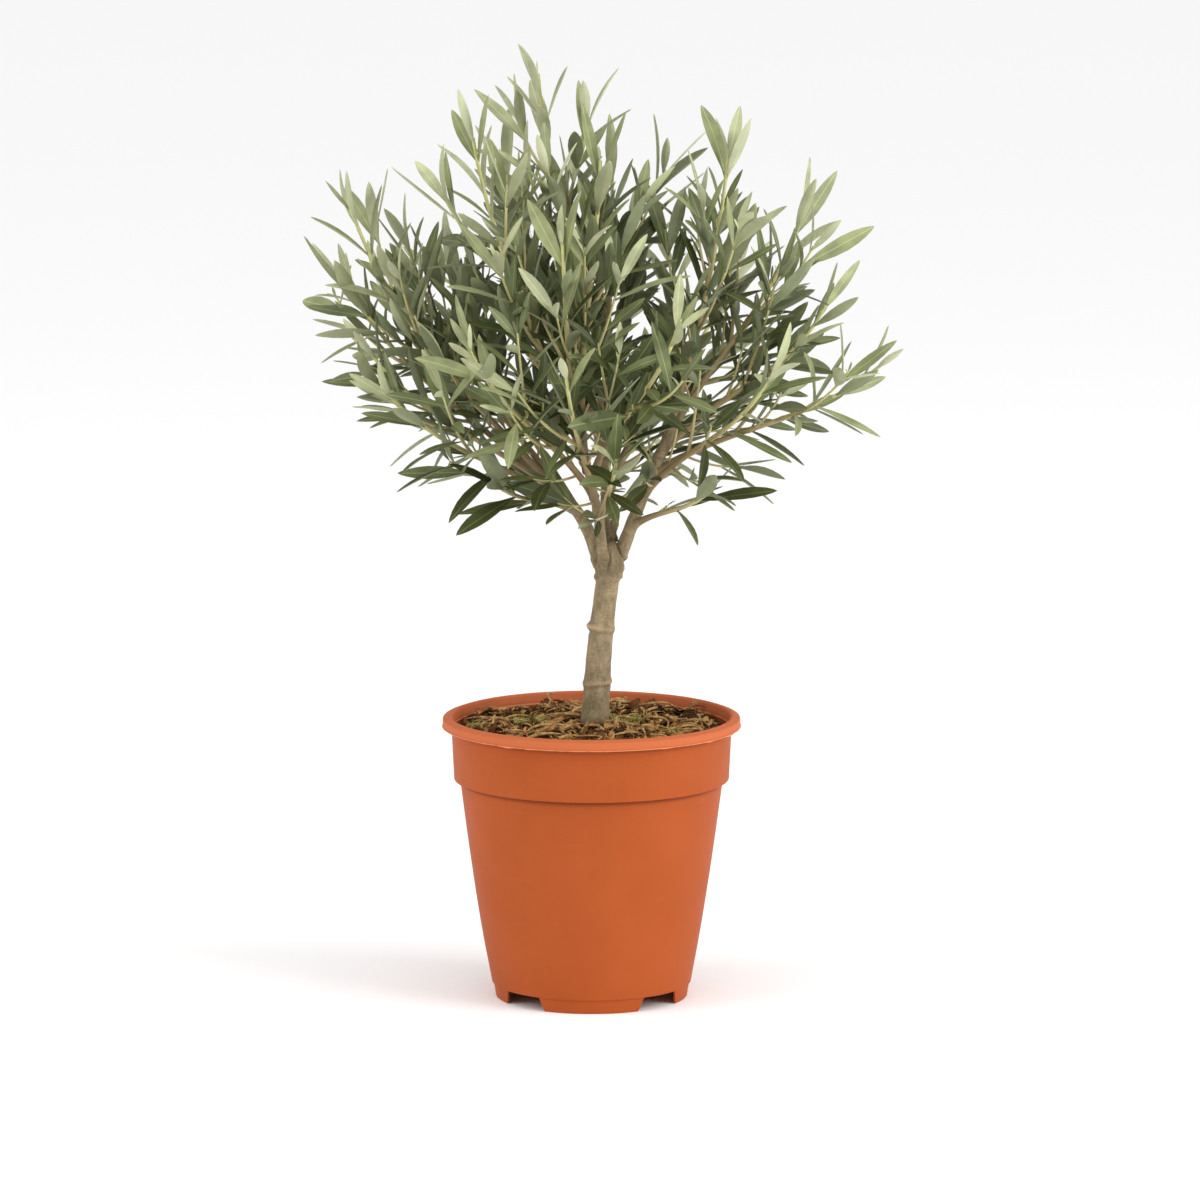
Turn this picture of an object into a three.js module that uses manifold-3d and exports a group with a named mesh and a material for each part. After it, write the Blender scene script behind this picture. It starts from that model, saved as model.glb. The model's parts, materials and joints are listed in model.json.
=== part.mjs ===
// Potted olive tree: a young olive grown as a small standard, in a plastic nursery pot.
// Millimetres, +Z up, +X to the right, +Y to the back. The origin is the centre of the pot's underside.

import * as THREE from "three";
import { mergeVertices } from "three/addons/utils/BufferGeometryUtils.js";
import Module from "manifold-3d";

const wasm = await Module();
wasm.setup();

// ---------------------------------------------------------------- driving dimensions

const GAP = 0.3; // clear space left between neighbouring solids

const POT = {
  height: 162,
  rimRadius: 85,
  rimInnerRadius: 81,
  lipDrop: 7.5,
  lipLowRadius: 83.2,
  bandTopRadius: 80,
  bandLowRadius: 78.4,
  bandLow: 126.5,
  stepHeight: 1.5,
  bodyTopRadius: 75,
  bodyLowRadius: 57,
  bodyBulge: 1.2,
  footHeight: 8.5,
  footRadius: 54.8,
  footTopRadius: 56.1,
  footStep: 0.6,
  padRadius: 15,
  padFlare: 4,
  wall: 1.6,
  segments: 40,
};
const NOTCH = { count: 4, firstAngle: 45, widthTop: 25, widthLow: 29, depth: 16, height: 8.2 };
const DRAIN = { radius: 46, length: 15, width: 7 };

const SOIL = { edge: 155, middle: 157.6, flatRadius: 15, bump: 2, rings: 5, segments: 20, seed: 11 };

const TRUNK = {
  foot: SOIL.middle + GAP,
  footRadius: 7.9,
  forkRadius: 6.5,
  forkHeight: 232,
  flare: 1.1,
  flareHeight: 5,
  swellings: [
    { height: 181, size: 0.45, reach: 3 },
    { height: 213, size: 0.6, reach: 3 },
    { height: 250, size: 2.3, reach: 7 },
  ],
  stub: 252,
  top: 263,
  route: [
    [1.9, 0, 158],
    [3.4, 0.5, 183],
    [5.4, 0.7, 209],
    [8.2, 0.3, 233],
    [10.2, 0, 250],
    [11.4, 0, 263],
  ],
  sides: 12,
  steps: 18,
};

// The four limbs that leave the fork: start, two handles and end of each, and its two radii.
const LIMBS = {
  left: { route: [[6, -1, 246], [0, -2, 268], [-6, -4, 284], [-26, -7, 298]], radii: [4.3, 2.6] },
  right: { route: [[13, 0, 247], [20, 0, 263], [29, -1, 291], [43, -4, 322]], radii: [4.4, 2.3] },
  centre: { route: [[8, -5, 247], [5, -12, 262], [5, -17, 287], [-4, -26, 312]], radii: [3.3, 2.1] },
  back: { route: [[10, 5, 247], [7, 12, 264], [8, 18, 284], [8, 28, 312]], radii: [3.5, 2.2] },
};
const LIMB = { sides: 7, steps: 5 };

// Each main shoot of the crown: the limb it leaves, how far along, the tip it reaches and how strongly
// it turns upwards. Its woody foot is a bough, and the rest carries a mass of foliage.
const SHOOTS = {
  left_low: { limb: "left", at: 0.8, tip: [-124, -16, 372], lift: 0.5 },
  left_low_front: { limb: "left", at: 0.6, tip: [-112, -62, 354], lift: 0.4 },
  left_mid: { limb: "left", at: 1, tip: [-141, 12, 412], lift: 0.6 },
  left_high: { limb: "left", at: 0.9, tip: [-136, -14, 456], lift: 0.9 },
  left_crest: { limb: "left", at: 0.7, tip: [-104, 14, 430], lift: 1 },
  left_twig: { limb: "left", at: 0.6, tip: [-52, -42, 300], lift: 0.3 },
  back_left: { limb: "left", at: 0.55, tip: [-84, 88, 412], lift: 0.7 },
  top_left: { limb: "centre", at: 0.9, tip: [-66, -38, 496], lift: 1 },
  front_left: { limb: "centre", at: 0.66, tip: [-68, -98, 386], lift: 0.5 },
  front_low: { limb: "centre", at: 0.4, tip: [14, -92, 322], lift: 0.3 },
  front_centre: { limb: "centre", at: 0.52, tip: [-14, -106, 372], lift: 0.6 },
  front_high: { limb: "centre", at: 1, tip: [-16, -72, 440], lift: 1 },
  front_right: { limb: "centre", at: 0.8, tip: [48, -100, 398], lift: 0.6 },
  top_centre: { limb: "centre", at: 0.97, tip: [5, -24, 482], lift: 1 },
  top: { limb: "back", at: 1, tip: [-30, 8, 528], lift: 1 },
  top_left_back: { limb: "back", at: 0.88, tip: [-50, 54, 472], lift: 1 },
  top_back: { limb: "back", at: 0.96, tip: [12, 50, 474], lift: 1 },
  back_centre: { limb: "back", at: 0.75, tip: [-22, 120, 400], lift: 0.6 },
  back_right: { limb: "back", at: 0.6, tip: [80, 94, 404], lift: 0.7 },
  back_low: { limb: "back", at: 0.45, tip: [34, 116, 338], lift: 0.4 },
  top_right: { limb: "right", at: 0.94, tip: [77, -16, 484], lift: 1 },
  right_high: { limb: "right", at: 1, tip: [120, 10, 450], lift: 0.9 },
  right_mid: { limb: "right", at: 0.86, tip: [132, -6, 398], lift: 0.85 },
  right_low: { limb: "right", at: 0.72, tip: [163, -20, 366], lift: 0.35 },
  right_front: { limb: "right", at: 0.56, tip: [99, -78, 366], lift: 0.5 },
  right_twig: { limb: "right", at: 0.32, tip: [66, -48, 298], lift: 0.3 },
};

const BOUGH = {
  share: 0.25,
  headRadius: 2.5,
  endRadius: 1.7,
  handle: 0.36,
  follow: 0.75,
  sides: 5,
  steps: 3,
};
const STEM = { endRadius: 1, sides: 3, steps: 5 };

// Twigs leave the stem at every station, each turned by a quarter and a half from the last. The stations
// of a shoot that stays level stand further apart than those of an upright one.
const TWIG = {
  station: 15,
  sparser: 0.6,
  first: 8,
  bareTip: 36,
  quarter: Math.PI / 2,
  turnSpread: 0.5,
  spread: 0.58,
  spreadSpread: 0.16,
  longest: 66,
  shortest: 28,
  lengthSpread: 0.3,
  rise: 0.8,
  rootRadius: 1,
  endRadius: 0.8,
  sides: 3,
  steps: 2,
};

// Leaf pairs a set distance apart down each stem and twig. They stand close to it at its tip and open
// further down it, on twigs low on their stem and on shoots that stay level. A blade is folded up along
// its midrib, and turns its upper face along its twig, out of the crown and to the light. Its root is
// sunk past the middle of the twig.
const LEAF = {
  pairs: 17,
  mostOnTwig: 4,
  mostOnStem: 12,
  firstOnTwig: 14,
  leafyStem: 0.06,
  sink: 0.2,
  length: 50,
  lengthSpread: 0.12,
  tipGap: 12,
  tipShare: 0.7,
  widthShare: 0.31,
  fold: 1.3,
  belly: 0.52,
  faceAlong: 0.5,
  faceOut: 1.2,
  faceUp: 0.45,
  spread: 0.66,
  tipSpread: 0.26,
  youngPairs: 2,
  openInside: 0.5,
  openBelow: 0.75,
  clear: 7,
};

const CROWN = { x: 6, y: 4, radius: 165 };
const SPACE = { margin: 1.2, limbClear: 1.2, floor: 250 };
const SEED = 4021;

// ---------------------------------------------------------------- finishes

function finish(colour, roughness) {
  return new THREE.MeshStandardMaterial({ color: colour, roughness, metalness: 0 });
}
const TERRACOTTA_PLASTIC = finish(0xbe5f34, 0.5);
const POTTING_SOIL = finish(0x54402b, 0.95);
const BARK = finish(0x948264, 0.85);
const FOLIAGE = finish(0x70805c, 0.6);

// ---------------------------------------------------------------- helpers

const UP = new THREE.Vector3(0, 0, 1);
const ACROSS = new THREE.Vector3(1, 0, 0);

// A generator of numbers from 0 to 1 that gives the same row for the same seed.
function seeded(seed) {
  let state = seed >>> 0;
  return () => {
    state = (state + 0x6d2b79f5) >>> 0;
    let t = Math.imul(state ^ (state >>> 15), state | 1);
    t ^= t + Math.imul(t ^ (t >>> 7), t | 61);
    return ((t ^ (t >>> 14)) >>> 0) / 4294967296;
  };
}

// A number spread evenly about `middle` by up to `share` of it each way.
const vary = (random, middle, share) => middle * (1 + share * (2 * random() - 1));

const mix = (a, b, t) => a + (b - a) * t;
const point = (p) => new THREE.Vector3(...p);

function merged(geometry) {
  for (const name of ["normal", "uv"]) geometry.deleteAttribute(name);
  return mergeVertices(geometry, 1e-4);
}

function solid(geometry) {
  const closed = merged(geometry);
  const vertProperties = new Float32Array(closed.attributes.position.array);
  const triVerts = new Uint32Array(closed.index.array);
  return new wasm.Manifold(new wasm.Mesh({ numProp: 3, vertProperties, triVerts }));
}

// The largest piece of a solid, so that a loose scrap left by a cut is dropped.
function largest(made) {
  return made.decompose().reduce((best, piece) => (piece.volume() > best.volume() ? piece : best));
}

function named(name, made, material) {
  const { vertProperties, triVerts } = made.getMesh();
  const geometry = new THREE.BufferGeometry();
  geometry.setAttribute("position", new THREE.BufferAttribute(vertProperties, 3));
  geometry.setIndex(new THREE.BufferAttribute(triVerts, 1));
  geometry.computeVertexNormals();
  const mesh = new THREE.Mesh(geometry, material);
  mesh.name = name;
  return mesh;
}

// A closed cylinder whose rings are carried onto a curve, with a radius for each share of its length.
function taperedTube(curve, radiusAt, sides, steps, footHeight = null) {
  const tube = new THREE.CylinderGeometry(1, 1, 1, sides, steps);
  const frames = curve.computeFrenetFrames(steps);
  const place = tube.attributes.position;
  const spot = new THREE.Vector3();
  for (let i = 0; i < place.count; i++) {
    const step = Math.round((place.getY(i) + 0.5) * steps);
    const share = step / steps;
    const radius = radiusAt(share);
    spot
      .copy(curve.getPointAt(share))
      .addScaledVector(frames.normals[step], place.getX(i) * radius)
      .addScaledVector(frames.binormals[step], -place.getZ(i) * radius);
    if (step === 0 && footHeight !== null) spot.z = footHeight;
    place.setXYZ(i, spot.x, spot.y, spot.z);
  }
  return solid(tube);
}

// A direction at right angles to `along`, turned about it by `turn`.
function sideways(along, turn) {
  const level = Math.abs(along.z) < 0.9 ? UP : ACROSS;
  return new THREE.Vector3().crossVectors(along, level).normalize().applyAxisAngle(along, turn);
}

// A direction that opens from `along` by `spread`, on the side that `turn` gives.
function opened(along, turn, spread) {
  return along
    .clone()
    .multiplyScalar(Math.cos(spread))
    .addScaledVector(sideways(along, turn), Math.sin(spread))
    .normalize();
}

function nearest(spot, route) {
  return route.reduce((least, p) => Math.min(least, spot.distanceTo(p)), Infinity);
}

// ---------------------------------------------------------------- pot

// The inside of the pot from its rim down to the axis, as radius and height, drawn in by `gap`.
function innerProfile(gap) {
  const { height, wall, bandTopRadius, bandLowRadius, bandLow, stepHeight } = POT;
  const { bodyTopRadius, bodyLowRadius, bodyBulge, footHeight, padRadius, padFlare } = POT;
  const inset = wall + gap;
  const floor = footHeight + inset;
  const middle = (bandLow + floor) / 2;
  return [
    [bandTopRadius - inset, height - POT.lipDrop],
    [bandLowRadius - inset, bandLow],
    [bodyTopRadius - inset, bandLow - stepHeight],
    [(bodyTopRadius + bodyLowRadius) / 2 + bodyBulge - inset, middle],
    [bodyLowRadius - inset + 0.3, floor + 2.5],
    [bodyLowRadius - inset - 2.2, floor],
    [padRadius + padFlare - gap, floor],
    [padRadius - wall / 2 - gap, inset],
    [0, inset],
  ];
}

function profileSolid(profile, segments) {
  const points = profile.map(([radius, height]) => new THREE.Vector2(radius, height));
  return new THREE.LatheGeometry(points, segments).rotateX(Math.PI / 2);
}

// A flat outline raised to `height`, its middle at `radius` on the side that `angle` gives.
function cutter(outline, height, angle, radius, foot) {
  const options = { depth: height, bevelEnabled: false, curveSegments: 6 };
  const shape = new THREE.ExtrudeGeometry(outline, options);
  return solid(shape.translate(radius, 0, foot).rotateZ(angle));
}

// One notch of the foot ring: a trapezium across the ring, raised along the radius.
function notchCutter(angle) {
  const outline = new THREE.Shape();
  outline.moveTo(-NOTCH.widthLow / 2, -1);
  outline.lineTo(NOTCH.widthLow / 2, -1);
  outline.lineTo(NOTCH.widthTop / 2, NOTCH.height);
  outline.lineTo(-NOTCH.widthTop / 2, NOTCH.height);
  const wedge = new THREE.ExtrudeGeometry(outline, { depth: NOTCH.depth, bevelEnabled: false });
  wedge.rotateX(Math.PI / 2).rotateZ(Math.PI / 2);
  return solid(wedge.translate(POT.footRadius - NOTCH.depth / 2, 0, 0).rotateZ(angle));
}

function drainCutter(angle) {
  const outline = new THREE.Shape();
  const straight = (DRAIN.length - DRAIN.width) / 2;
  outline.absarc(0, straight, DRAIN.width / 2, 0, Math.PI);
  outline.absarc(0, -straight, DRAIN.width / 2, Math.PI, 2 * Math.PI);
  return cutter(outline, 6, angle, DRAIN.radius, POT.footHeight - 3);
}

function pot() {
  const { height, wall, footHeight, padRadius, padFlare, footRadius, bodyLowRadius, bodyTopRadius } = POT;
  const { bodyBulge, bandLow, stepHeight, bandLowRadius, bandTopRadius, lipDrop, lipLowRadius } = POT;
  const { footTopRadius, footStep } = POT;
  const outside = [
    [0, 0],
    [padRadius, 0],
    [padRadius + padFlare, footHeight],
    [bodyLowRadius - wall, footHeight],
    [footRadius - wall, 0],
    [footRadius, 0],
    [footTopRadius, footHeight - footStep],
    [bodyLowRadius, footHeight],
    [(bodyTopRadius + bodyLowRadius) / 2 + bodyBulge, (bandLow + footHeight) / 2],
    [bodyTopRadius, bandLow - stepHeight],
    [bandLowRadius, bandLow],
    [bandTopRadius, height - lipDrop],
    [lipLowRadius, height - lipDrop],
    [POT.rimRadius, height - 1.5],
    [POT.rimRadius - 1.2, height],
    [POT.rimInnerRadius, height],
  ];
  const shell = solid(profileSolid([...outside, ...innerProfile(0)], POT.segments));
  const cuts = [];
  for (let i = 0; i < NOTCH.count; i++) {
    const angle = THREE.MathUtils.degToRad(NOTCH.firstAngle + (360 / NOTCH.count) * i);
    cuts.push(notchCutter(angle), drainCutter(angle));
  }
  return named("pot", shell.subtract(wasm.Manifold.union(cuts)), TERRACOTTA_PLASTIC);
}

// ---------------------------------------------------------------- soil

function soil() {
  const wallside = innerProfile(GAP);
  const [topRadius] = wallside[0];
  const profile = [];
  for (let ring = 0; ring <= SOIL.rings; ring++) {
    const share = ring / SOIL.rings;
    const radius = ring === 0 ? 0 : mix(SOIL.flatRadius, topRadius, (ring - 1) / (SOIL.rings - 1));
    profile.push([radius, ring < 2 ? SOIL.middle : mix(SOIL.middle, SOIL.edge, share)]);
  }
  const below = wallside.slice(1);
  const closed = merged(profileSolid([...below.reverse(), ...profile.reverse()], SOIL.segments));
  const place = closed.attributes.position;
  const random = seeded(SOIL.seed);
  for (let i = 0; i < place.count; i++) {
    const radius = Math.hypot(place.getX(i), place.getY(i));
    const onTop = place.getZ(i) > POT.bandLow + 2;
    if (onTop && radius > SOIL.flatRadius + 1 && radius < topRadius - 1)
      place.setZ(i, place.getZ(i) + SOIL.bump * (2 * random() - 1));
  }
  return named("soil", solid(closed), POTTING_SOIL);
}

// ---------------------------------------------------------------- trunk, limbs and boughs

function trunkRadius(height) {
  const rise = (height - TRUNK.foot) / (TRUNK.forkHeight - TRUNK.foot);
  let radius = mix(TRUNK.footRadius, TRUNK.forkRadius, Math.min(1, rise));
  radius += TRUNK.flare * Math.exp(-(height - TRUNK.foot) / TRUNK.flareHeight);
  for (const { height: middle, size, reach } of TRUNK.swellings)
    radius += size * Math.exp(-(((height - middle) / reach) ** 2));
  const cap = Math.max(0, (height - TRUNK.stub) / (TRUNK.top + 0.6 - TRUNK.stub));
  return radius * Math.sqrt(1 - cap * cap);
}

const trunkCurve = new THREE.CatmullRomCurve3(TRUNK.route.map(point));

function trunkSolid(extra) {
  const radiusAt = (share) => trunkRadius(trunkCurve.getPointAt(share).z) + extra;
  return taperedTube(trunkCurve, radiusAt, TRUNK.sides, TRUNK.steps, TRUNK.foot);
}

const limbCurves = {};
for (const [name, limb] of Object.entries(LIMBS))
  limbCurves[name] = new THREE.CubicBezierCurve3(...limb.route.map(point));

function limbSolid(name, extra) {
  const [head, end] = LIMBS[name].radii;
  const radiusAt = (share) => mix(head, end, share) + extra;
  return taperedTube(limbCurves[name], radiusAt, LIMB.sides, LIMB.steps);
}

// The whole line of a main shoot, from inside its limb to its tip.
function shootCurve({ limb, at, tip, lift }) {
  const start = limbCurves[limb].getPointAt(at);
  const end = point(tip);
  const reach = end.distanceTo(start);
  const straight = end.clone().sub(start).normalize();
  const onward = limbCurves[limb].getTangentAt(at).multiplyScalar(BOUGH.follow * lift);
  const heading = straight.clone().add(onward).normalize();
  const arrival = straight.clone().addScaledVector(UP, lift).normalize();
  return new THREE.CubicBezierCurve3(
    start,
    start.clone().addScaledVector(heading, reach * BOUGH.handle),
    end.clone().addScaledVector(arrival, -reach * BOUGH.handle),
    end,
  );
}

// The stretch of a curve between two shares of its length, as a curve of its own.
class Stretch extends THREE.Curve {
  constructor(whole, from, to) {
    super();
    Object.assign(this, { whole, from, to });
  }
  getPoint(t, target = new THREE.Vector3()) {
    return target.copy(this.whole.getPointAt(mix(this.from, this.to, t)));
  }
}

const shoots = Object.entries(SHOOTS).map(([name, shoot], index) => {
  const curve = shootCurve(shoot);
  const level = 1 - shoot.lift;
  const stationGap = TWIG.station * (1 + TWIG.sparser * level);
  const length = curve.getLength();
  const bough = new Stretch(curve, 0, BOUGH.share);
  const stem = new Stretch(curve, BOUGH.share + GAP / length, 1);
  const route = curve.getSpacedPoints(40);
  return { name, index, curve, length, bough, stem, level, stationGap, route };
});

function boughSolid({ bough }, extra) {
  const radiusAt = (share) => mix(BOUGH.headRadius, BOUGH.endRadius, share) + extra;
  return taperedTube(bough, radiusAt, BOUGH.sides, BOUGH.steps);
}

// Trunk, limbs and boughs in the order they grow, each cut clear of what it grows from.
function wood() {
  const nodes = [named("trunk", trunkSolid(0), BARK)];
  let taken = trunkSolid(GAP);
  const add = (name, makeSolid) => {
    nodes.push(named(name, largest(makeSolid(0).subtract(taken)), BARK));
    taken = taken.add(makeSolid(GAP));
  };
  for (const name of Object.keys(LIMBS)) add("limb_" + name, (extra) => limbSolid(name, extra));
  for (const shoot of shoots) add("bough_" + shoot.name, (extra) => boughSolid(shoot, extra));
  return { nodes, taken };
}

// ---------------------------------------------------------------- foliage

// Wood that foliage keeps clear of, as points along its middle with the radius there.
const woodPoints = [];
for (const spot of trunkCurve.getSpacedPoints(20)) woodPoints.push({ spot, radius: trunkRadius(spot.z) });
for (const [name, limb] of Object.entries(LIMBS))
  for (const spot of limbCurves[name].getSpacedPoints(20)) woodPoints.push({ spot, radius: limb.radii[0] });
for (const { bough } of shoots)
  for (const spot of bough.getSpacedPoints(20)) woodPoints.push({ spot, radius: BOUGH.headRadius });

// Whether a point is nearer to its own shoot than to any other, above the lowest foliage and off the wood.
function inSpace(shoot, spot) {
  if (spot.z < SPACE.floor) return false;
  const own = nearest(spot, shoot.route) + SPACE.margin;
  if (shoots.some((other) => other !== shoot && nearest(spot, other.route) < own)) return false;
  return woodPoints.every((w) => spot.distanceTo(w.spot) > w.radius + SPACE.limbClear);
}

// Points down the midrib of a leaf, and the two where its raised edges are furthest apart.
function leafOutline(root, along, facing, length) {
  const across = new THREE.Vector3().crossVectors(facing, along);
  const belly = root.clone().addScaledVector(along, length * LEAF.belly).addScaledVector(facing, LEAF.fold);
  const half = (length * LEAF.widthShare) / 2;
  const axis = [0.25, 0.5, 0.75, 1].map((share) => root.clone().addScaledVector(along, share * length));
  const edges = [half, -half].map((offset) => belly.clone().addScaledVector(across, offset));
  return { axis, edges };
}

// One leaf: a blade folded along its midrib from its root to its tip, widest at its middle.
function leafBlade(root, along, facing, length) {
  const { axis, edges } = leafOutline(root, along, facing, length);
  const blade = new THREE.BufferGeometry().setFromPoints([root, axis.at(-1), ...edges]);
  blade.setIndex([0, 2, 1, 0, 1, 3, 0, 3, 2, 1, 2, 3]);
  return solid(blade);
}

// The way the upper face of a leaf looks: along its twig, out of the crown and up to the light.
function faceOf(along, direction, root) {
  const outward = new THREE.Vector3(root.x - CROWN.x, root.y - CROWN.y, 0).divideScalar(CROWN.radius);
  const face = along.clone().multiplyScalar(LEAF.faceAlong);
  face.addScaledVector(outward, LEAF.faceOut).addScaledVector(UP, LEAF.faceUp);
  return face.addScaledVector(direction, -face.dot(direction)).normalize();
}

// The foliage of one main shoot: its stem, the twigs of each station and the leaf pairs on both.
function foliage(shoot) {
  const parts = [];
  const leafPoints = [];
  const stemLength = shoot.stem.getLength();

  const addLeaf = (random, curve, share, turn, spread, size) => {
    const along = curve.getTangentAt(share);
    const direction = opened(along, turn, spread);
    const root = curve.getPointAt(share).addScaledVector(direction, -LEAF.sink);
    const facing = faceOf(along, direction, root);
    const length = vary(random, LEAF.length * size, LEAF.lengthSpread);
    const { axis, edges } = leafOutline(root, direction, facing, length);
    const free = axis.every((spot) => nearest(spot, leafPoints) > LEAF.clear);
    if (!free || ![...axis, ...edges].every((spot) => inSpace(shoot, spot))) return 0;
    leafPoints.push(...axis);
    parts.push(leafBlade(root, direction, facing, length));
    return 1;
  };

  // Leaf pairs down a stem or twig from its tip, where they close up, each a quarter turn from the last.
  const addLeaves = (random, curve, length, from, turn, most, openness) => {
    const pairs = Math.max(1, Math.round((length - from) / LEAF.pairs));
    let leaves = 0;
    for (let pair = 0; pair <= pairs && leaves < most; pair++) {
      const share = mix(1 - LEAF.tipGap / length, from / length, pair / pairs);
      const grown = Math.min(1, pair / LEAF.youngPairs + openness);
      const spread = vary(random, mix(LEAF.tipSpread, LEAF.spread, grown), 0.2);
      const size = pair === 0 ? LEAF.tipShare : 1;
      for (const side of [0, Math.PI])
        leaves += addLeaf(random, curve, share, turn + pair * TWIG.quarter + side, spread, size);
    }
  };

  const addTwig = (station) => {
    const random = seeded(SEED + shoot.index * 1000 + station);
    const along = TWIG.first + station * shoot.stationGap;
    const share = along / stemLength;
    const tangent = shoot.stem.getTangentAt(share);
    const turn = shoot.index + station * TWIG.quarter * 1.5 + TWIG.turnSpread * (2 * random() - 1);
    const fullLength = vary(random, mix(TWIG.longest, TWIG.shortest, share), TWIG.lengthSpread);
    const out = opened(tangent, turn, vary(random, TWIG.spread, TWIG.spreadSpread));
    const length = fullLength * (1 + Math.min(0, out.z));
    const root = shoot.stem.getPointAt(share);
    const bend = root.clone().addScaledVector(out, length / 2);
    const rising = out.clone().addScaledVector(UP, TWIG.rise).normalize();
    const end = bend.clone().addScaledVector(rising, length / 2);
    const curve = new THREE.QuadraticBezierCurve3(root, bend, end);
    if (!curve.getSpacedPoints(5).slice(1).every((spot) => inSpace(shoot, spot))) return;
    const radiusAt = (t) => mix(TWIG.rootRadius, TWIG.endRadius, t);
    parts.push(taperedTube(curve, radiusAt, TWIG.sides, TWIG.steps));
    const openness = LEAF.openInside * (1 - share) + LEAF.openBelow * shoot.level;
    addLeaves(random, curve, length, LEAF.firstOnTwig, random() * Math.PI, LEAF.mostOnTwig, openness);
  };

  const stemRadius = (share) => mix(BOUGH.endRadius, STEM.endRadius, share);
  parts.push(taperedTube(shoot.stem, stemRadius, STEM.sides, STEM.steps));
  const random = seeded(SEED + shoot.index * 1000 + 999);
  const openness = (LEAF.openBelow * shoot.level) / 2;
  const from = stemLength * LEAF.leafyStem;
  addLeaves(random, shoot.stem, stemLength, from, shoot.index, LEAF.mostOnStem, openness);
  for (let station = 0; TWIG.first + station * shoot.stationGap < stemLength - TWIG.bareTip; station++)
    addTwig(station);
  return named("foliage_" + shoot.name, largest(wasm.Manifold.union(parts)), FOLIAGE);
}

// ---------------------------------------------------------------- the tree in its pot

const tree = new THREE.Group();
tree.name = "potted_olive_tree";
tree.add(pot(), soil(), ...wood().nodes, ...shoots.map(foliage));

export default tree;
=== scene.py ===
# %% [markdown]
# # A young olive tree in a nursery pot
#
# The tree is a small standard: a slim trunk, four limbs, and a round open crown of narrow grey-green
# leaves. It stands in a terracotta-coloured plastic pot that is filled with bark compost.
#
# The lesson starts from a fixed frame of plain solids. They give every place and size, and this file
# dresses them: the pot gets its moulded edges, the soil its chips and fibres, the trunk its bark, and
# the crown is grown again, shoot by shoot, with finer twigs and real leaves.

# %% Load the fixed frame
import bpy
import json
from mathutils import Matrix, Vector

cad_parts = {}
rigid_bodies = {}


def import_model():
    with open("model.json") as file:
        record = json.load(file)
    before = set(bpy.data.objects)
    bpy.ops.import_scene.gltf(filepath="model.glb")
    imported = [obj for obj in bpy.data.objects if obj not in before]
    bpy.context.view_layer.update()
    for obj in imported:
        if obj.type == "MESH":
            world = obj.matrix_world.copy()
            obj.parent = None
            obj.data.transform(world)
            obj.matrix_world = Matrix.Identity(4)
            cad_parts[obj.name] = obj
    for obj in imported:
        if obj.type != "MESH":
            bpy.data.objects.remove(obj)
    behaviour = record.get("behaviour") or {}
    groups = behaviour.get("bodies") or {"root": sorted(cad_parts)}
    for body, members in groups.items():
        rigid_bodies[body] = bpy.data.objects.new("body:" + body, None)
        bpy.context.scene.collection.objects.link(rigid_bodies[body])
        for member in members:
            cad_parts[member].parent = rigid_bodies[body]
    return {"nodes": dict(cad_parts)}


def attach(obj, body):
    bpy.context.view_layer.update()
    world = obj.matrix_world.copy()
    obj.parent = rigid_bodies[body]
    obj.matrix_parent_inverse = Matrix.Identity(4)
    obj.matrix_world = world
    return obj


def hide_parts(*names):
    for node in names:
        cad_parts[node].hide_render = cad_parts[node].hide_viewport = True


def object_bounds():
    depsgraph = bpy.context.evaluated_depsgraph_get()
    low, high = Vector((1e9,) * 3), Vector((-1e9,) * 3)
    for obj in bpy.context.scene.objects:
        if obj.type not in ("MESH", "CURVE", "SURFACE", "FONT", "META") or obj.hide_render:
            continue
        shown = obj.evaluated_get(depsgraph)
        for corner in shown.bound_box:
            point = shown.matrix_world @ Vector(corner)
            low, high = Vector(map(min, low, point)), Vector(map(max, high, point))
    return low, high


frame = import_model()

CAD_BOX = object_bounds()
print("frame:", len(frame["nodes"]), "nodes, from", tuple(CAD_BOX[0]), "to", tuple(CAD_BOX[1]))

# %% Libraries and units
import json
import math

import bmesh
import bpy
import numpy as np
from mathutils import Matrix, Quaternion, Vector, kdtree, noise

MM = 0.001  # every size below is in millimetres, as on a workshop drawing
UP = Vector((0, 0, 1))
ACROSS = Vector((1, 0, 0))


def mix(a, b, share):
    """The value that lies a share of the way from a to b."""
    return a + (b - a) * share


def named_nodes(start):
    """The names of the frame's nodes that begin with a word."""
    return sorted(name for name in frame["nodes"] if name.startswith(start))


def paint(red, green, blue):
    """A colour given as a painter reads it from a screen, 0 to 255, as the light values Blender wants."""
    channels = [c / 255 for c in (red, green, blue)]
    return tuple(c / 12.92 if c < 0.04045 else ((c + 0.055) / 1.055) ** 2.4 for c in channels) + (1.0,)

# %% [markdown]
# ## The camera, the floor and the light
#
# A long lens from four metres away keeps the pot's sides almost parallel, as in a product picture. A
# short lens close by would show the same pot from the same side, but its rim would open far wider
# than its foot. The camera stands a little above the rim and looks nine degrees down.

# %% Camera
CAMERA_DISTANCE = 4.0
CAMERA_HEIGHT = 0.871
CAMERA_ACROSS = 0.00485
CAMERA_DROP = math.radians(9.12)
LENS = 213.6
SENSOR_WIDTH = 36
FARTHEST_SEEN = 200

camera_data = bpy.data.cameras.new("camera")
camera_data.lens = LENS
camera_data.sensor_width = SENSOR_WIDTH
camera_data.clip_end = FARTHEST_SEEN
camera = bpy.data.objects.new("camera", camera_data)
camera.location = (CAMERA_ACROSS, -CAMERA_DISTANCE, CAMERA_HEIGHT)
camera.rotation_euler = (math.pi / 2 - CAMERA_DROP, 0, 0)
bpy.context.scene.collection.objects.link(camera)
bpy.context.scene.camera = camera
print("camera at", tuple(camera.location))

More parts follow.
